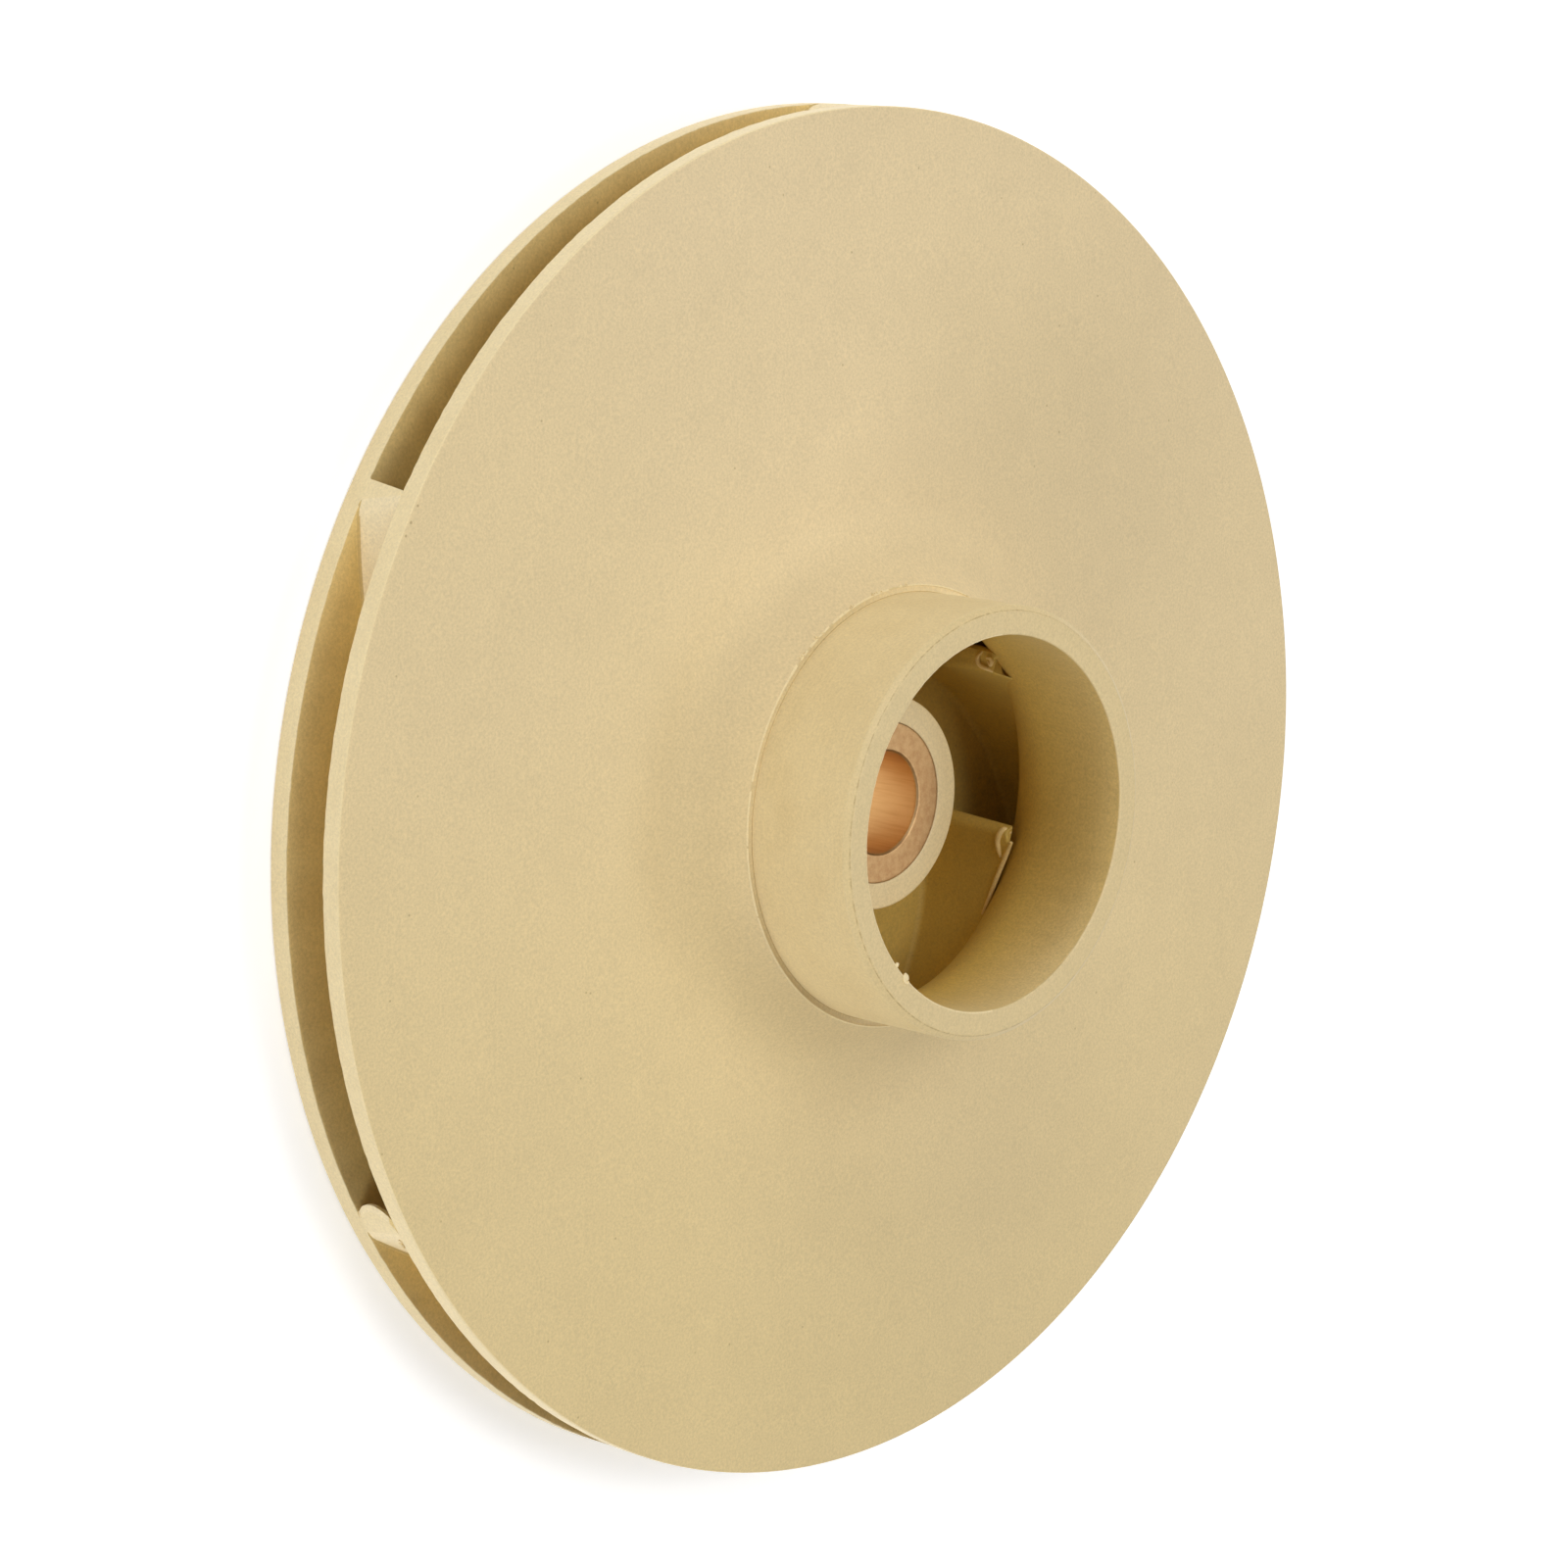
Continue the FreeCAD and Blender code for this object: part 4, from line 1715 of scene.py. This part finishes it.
@dataclass
class Studio:
    """The pale floor, the lamps, the soft surrounding light and the camera."""

    lamps: tuple[Lamp, ...] = (
        Lamp("low_left", -74.0, 16.0, 2.67),
        Lamp("low_right", 46.0, 16.0, 3.43),
        Lamp("high_left", -74.0, 65.0, 2.39),
        Lamp("high_back", 178.0, 65.0, 2.99),
        Lamp("rim_strip", -10.0, 4.0, 0.9, width=0.7, height=0.08),
    )
    world_level: float = 0.15
    floor_size: float = 3.0
    floor_drop: float = 0.05 * MM
    floor_tone: float = 0.8
    floor_glow: float = 0.45
    mirrored_glow: float = 0.55

    def world(self) -> None:
        """Surround the scene with even light that shows as white."""
        world = bpy.data.worlds.new("studio")
        world.use_nodes = True
        tree = world.node_tree
        tree.nodes.clear()
        output = tree.nodes.new("ShaderNodeOutputWorld")
        light = tree.nodes.new("ShaderNodeBackground")
        light.inputs["Strength"].default_value = self.world_level
        white = tree.nodes.new("ShaderNodeBackground")
        white.inputs["Strength"].default_value = 1.0
        choose = tree.nodes.new("ShaderNodeMixShader")
        tree.links.new(seen_directly(tree), choose.inputs[0])
        tree.links.new(light.outputs[0], choose.inputs[1])
        tree.links.new(white.outputs[0], choose.inputs[2])
        tree.links.new(choose.outputs[0], output.inputs["Surface"])
        bpy.context.scene.world = world

    def floor(self) -> bpy.types.Object:
        """Lay the floor under the impeller's back.

        Returns:
            The floor's object.
        """
        mesh = bmesh.new()
        bmesh.ops.create_grid(mesh, x_segments=1, y_segments=1, size=self.floor_size / 2)
        bmesh.ops.translate(mesh, verts=mesh.verts, vec=(0, 0, -self.floor_drop))
        made = finish_mesh("floor", mesh, [self.floor_material()])
        return made

    def floor_material(self) -> bpy.types.Material:
        """Make the floor matt white, seen a little brighter than lit, and clear from below.

        Returns:
            The material.
        """
        bench = NodeBench("floor", 0.9)
        tree = bench.tree
        bench.shader.inputs["Base Color"].default_value = (*[self.floor_tone] * 3, 1.0)
        bench.shader.inputs["Specular IOR Level"].default_value = 0.0
        mirrored = tree.nodes.new("ShaderNodeLightPath").outputs["Is Glossy Ray"]
        glow = bench.math("MULTIPLY", seen_directly(tree), self.floor_glow)
        glow = bench.math("ADD", glow, bench.math("MULTIPLY", mirrored, self.mirrored_glow))
        bench.shader.inputs["Emission Color"].default_value = (1.0, 1.0, 1.0, 1.0)
        bench.join(glow, bench.shader.inputs["Emission Strength"])
        clear = tree.nodes.new("ShaderNodeBsdfTransparent")
        choose = tree.nodes.new("ShaderNodeMixShader")
        bench.join(tree.nodes.new("ShaderNodeNewGeometry").outputs["Backfacing"], choose.inputs[0])
        bench.join(bench.shader.outputs[0], choose.inputs[1])
        bench.join(clear.outputs[0], choose.inputs[2])
        output = next(node for node in tree.nodes if node.type == "OUTPUT_MATERIAL")
        bench.join(choose.outputs[0], output.inputs["Surface"])
        return bench.material

    def build(self, target: Vector) -> None:
        """Set up the whole studio around a point.

        Args:
            target: The point that the lamps face.
        """
        self.world()
        self.floor()
        for lamp in self.lamps:
            lamp.build(target)
        Camera().build()
        bpy.context.scene.view_settings.view_transform = "Standard"


def seen_directly(tree: bpy.types.NodeTree) -> bpy.types.NodeSocket:
    """Find what the camera, a reflection or clear glass shows.

    Args:
        tree: The node tree that this goes into.

    Returns:
        One for what is seen directly, and nothing for other light.
    """
    path = tree.nodes.new("ShaderNodeLightPath")
    total = path.outputs["Is Camera Ray"]
    for name in ("Is Glossy Ray", "Is Transmission Ray"):
        node = tree.nodes.new("ShaderNodeMath")
        node.operation = "MAXIMUM"
        tree.links.new(total, node.inputs[0])
        tree.links.new(path.outputs[name], node.inputs[1])
        total = node.outputs[0]
    return total


def moulding_finishes(face_height: float) -> list[bpy.types.Material]:
    """Make the finishes of the two mouldings, with the painted light and shade of their zones.

    Args:
        face_height: The height of the front face at the rim, where the three small spots are.

    Returns:
        The materials in the order of the zones.
    """
    marks = ((-119.6, 0.2 * MM), (-118.2, 0.24 * MM), (-117.1, 0.2 * MM))
    # Painted shade: the water's side is a deeper amber than the face, turning paler towards the mouths as
    # painted light.
    inner = MouldedPlastic(
        "inner_painted_shade",
        linear(221, 191, 101),
        linear(217, 185, 96),
        cloud_share=0.06,
        grain_share=0.26,
        mouth_painted_colour=linear(226, 199, 134),
    )
    # Painted shade inside the eye: a darker amber, more saturated lower down, with painted light making it
    # paler on its lit side.
    eye = MouldedPlastic(
        "eye_painted_shade",
        linear(208, 181, 115),
        linear(230, 206, 145),
        painted_side_from=0.0,
        painted_side_to=12 * MM,
        grain_share=0.3,
        streak_share=0.06,
        deep_shade_colour=linear(222, 191, 104),
    )
    finishes = {
        # The face's plastic carries painted shade round the neck and towards one side.
        Zone.MOULDED: MouldedPlastic(
            neck_shade=0.05, spots=tuple((angle, face_height, size) for angle, size in marks)
        ),
        Zone.TURNED: TurnedPlastic("collar_rim", linear(214, 191, 140), scribe_radius=24.4 * MM),
        Zone.INNER: inner,
        # A real turned finish with tool lines, coloured paler as painted light on the rims and as painted
        # highlights on edges and crumbs.
        Zone.RIM: TurnedPlastic("rim_turned_painted_light", linear(234, 214, 166), linear(230, 209, 160)),
        Zone.EYE: eye,
        Zone.COLLAR: TurnedPlastic("collar_side", linear(224, 204, 157), linear(219, 198, 150)),
        # Painted light: the vanes' flanks turn paler towards their tips.
        Zone.TIP: replace(inner, name="tip_painted_light", mouth_painted_colour=linear(240, 221, 178), mouth_painted_to=73 * MM),
        # Painted shade: darker foot fillets towards the rim.
        Zone.FOOT: replace(inner, name="foot_painted_shade", mouth_painted_colour=linear(200, 171, 106), mouth_painted_to=73 * MM),
    }
    return [finishes[zone].build() for zone in Zone]


def main() -> None:
    """Build the impeller's pieces in order, then the studio around them."""
    logging.basicConfig(level=logging.INFO, format="%(name)s: %(message)s")
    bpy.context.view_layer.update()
    front_low, front_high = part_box("front_shroud")
    bush_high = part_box("hub_bush")[1]
    throat = Throat(
        outer_radius=front_high.x,
        roof_rim_height=front_low.z,
        overall_height=front_high.z,
        eye_radius=21.6 * MM,
    )
    front = FrontShroud(throat)
    back = BackShroud(throat, bush_high.x, bush_high.z)
    plastics = moulding_finishes(throat.roof_rim_height + front.wall)
    # The flash's second colour is a slight painted shade towards one side.
    flash_plastic = MouldedPlastic("flash_plastic", linear(246, 218, 152), linear(244, 214, 146)).build()
    front.build(plastics)
    back.build(plastics)
    HubBush(bush_high.x, bush_high.z).build(TurnedBronze().build())
    WeldFlash(throat, back.wall, back.vane_count).build(flash_plastic)
    # The crumbs and chips take the rims' paler, painted-light colour.
    Burrs(front).build(plastics[Zone.RIM.value])
    Studio().build(Vector((0, 0, throat.overall_height / 2)))


if __name__ == "__main__":
    main()
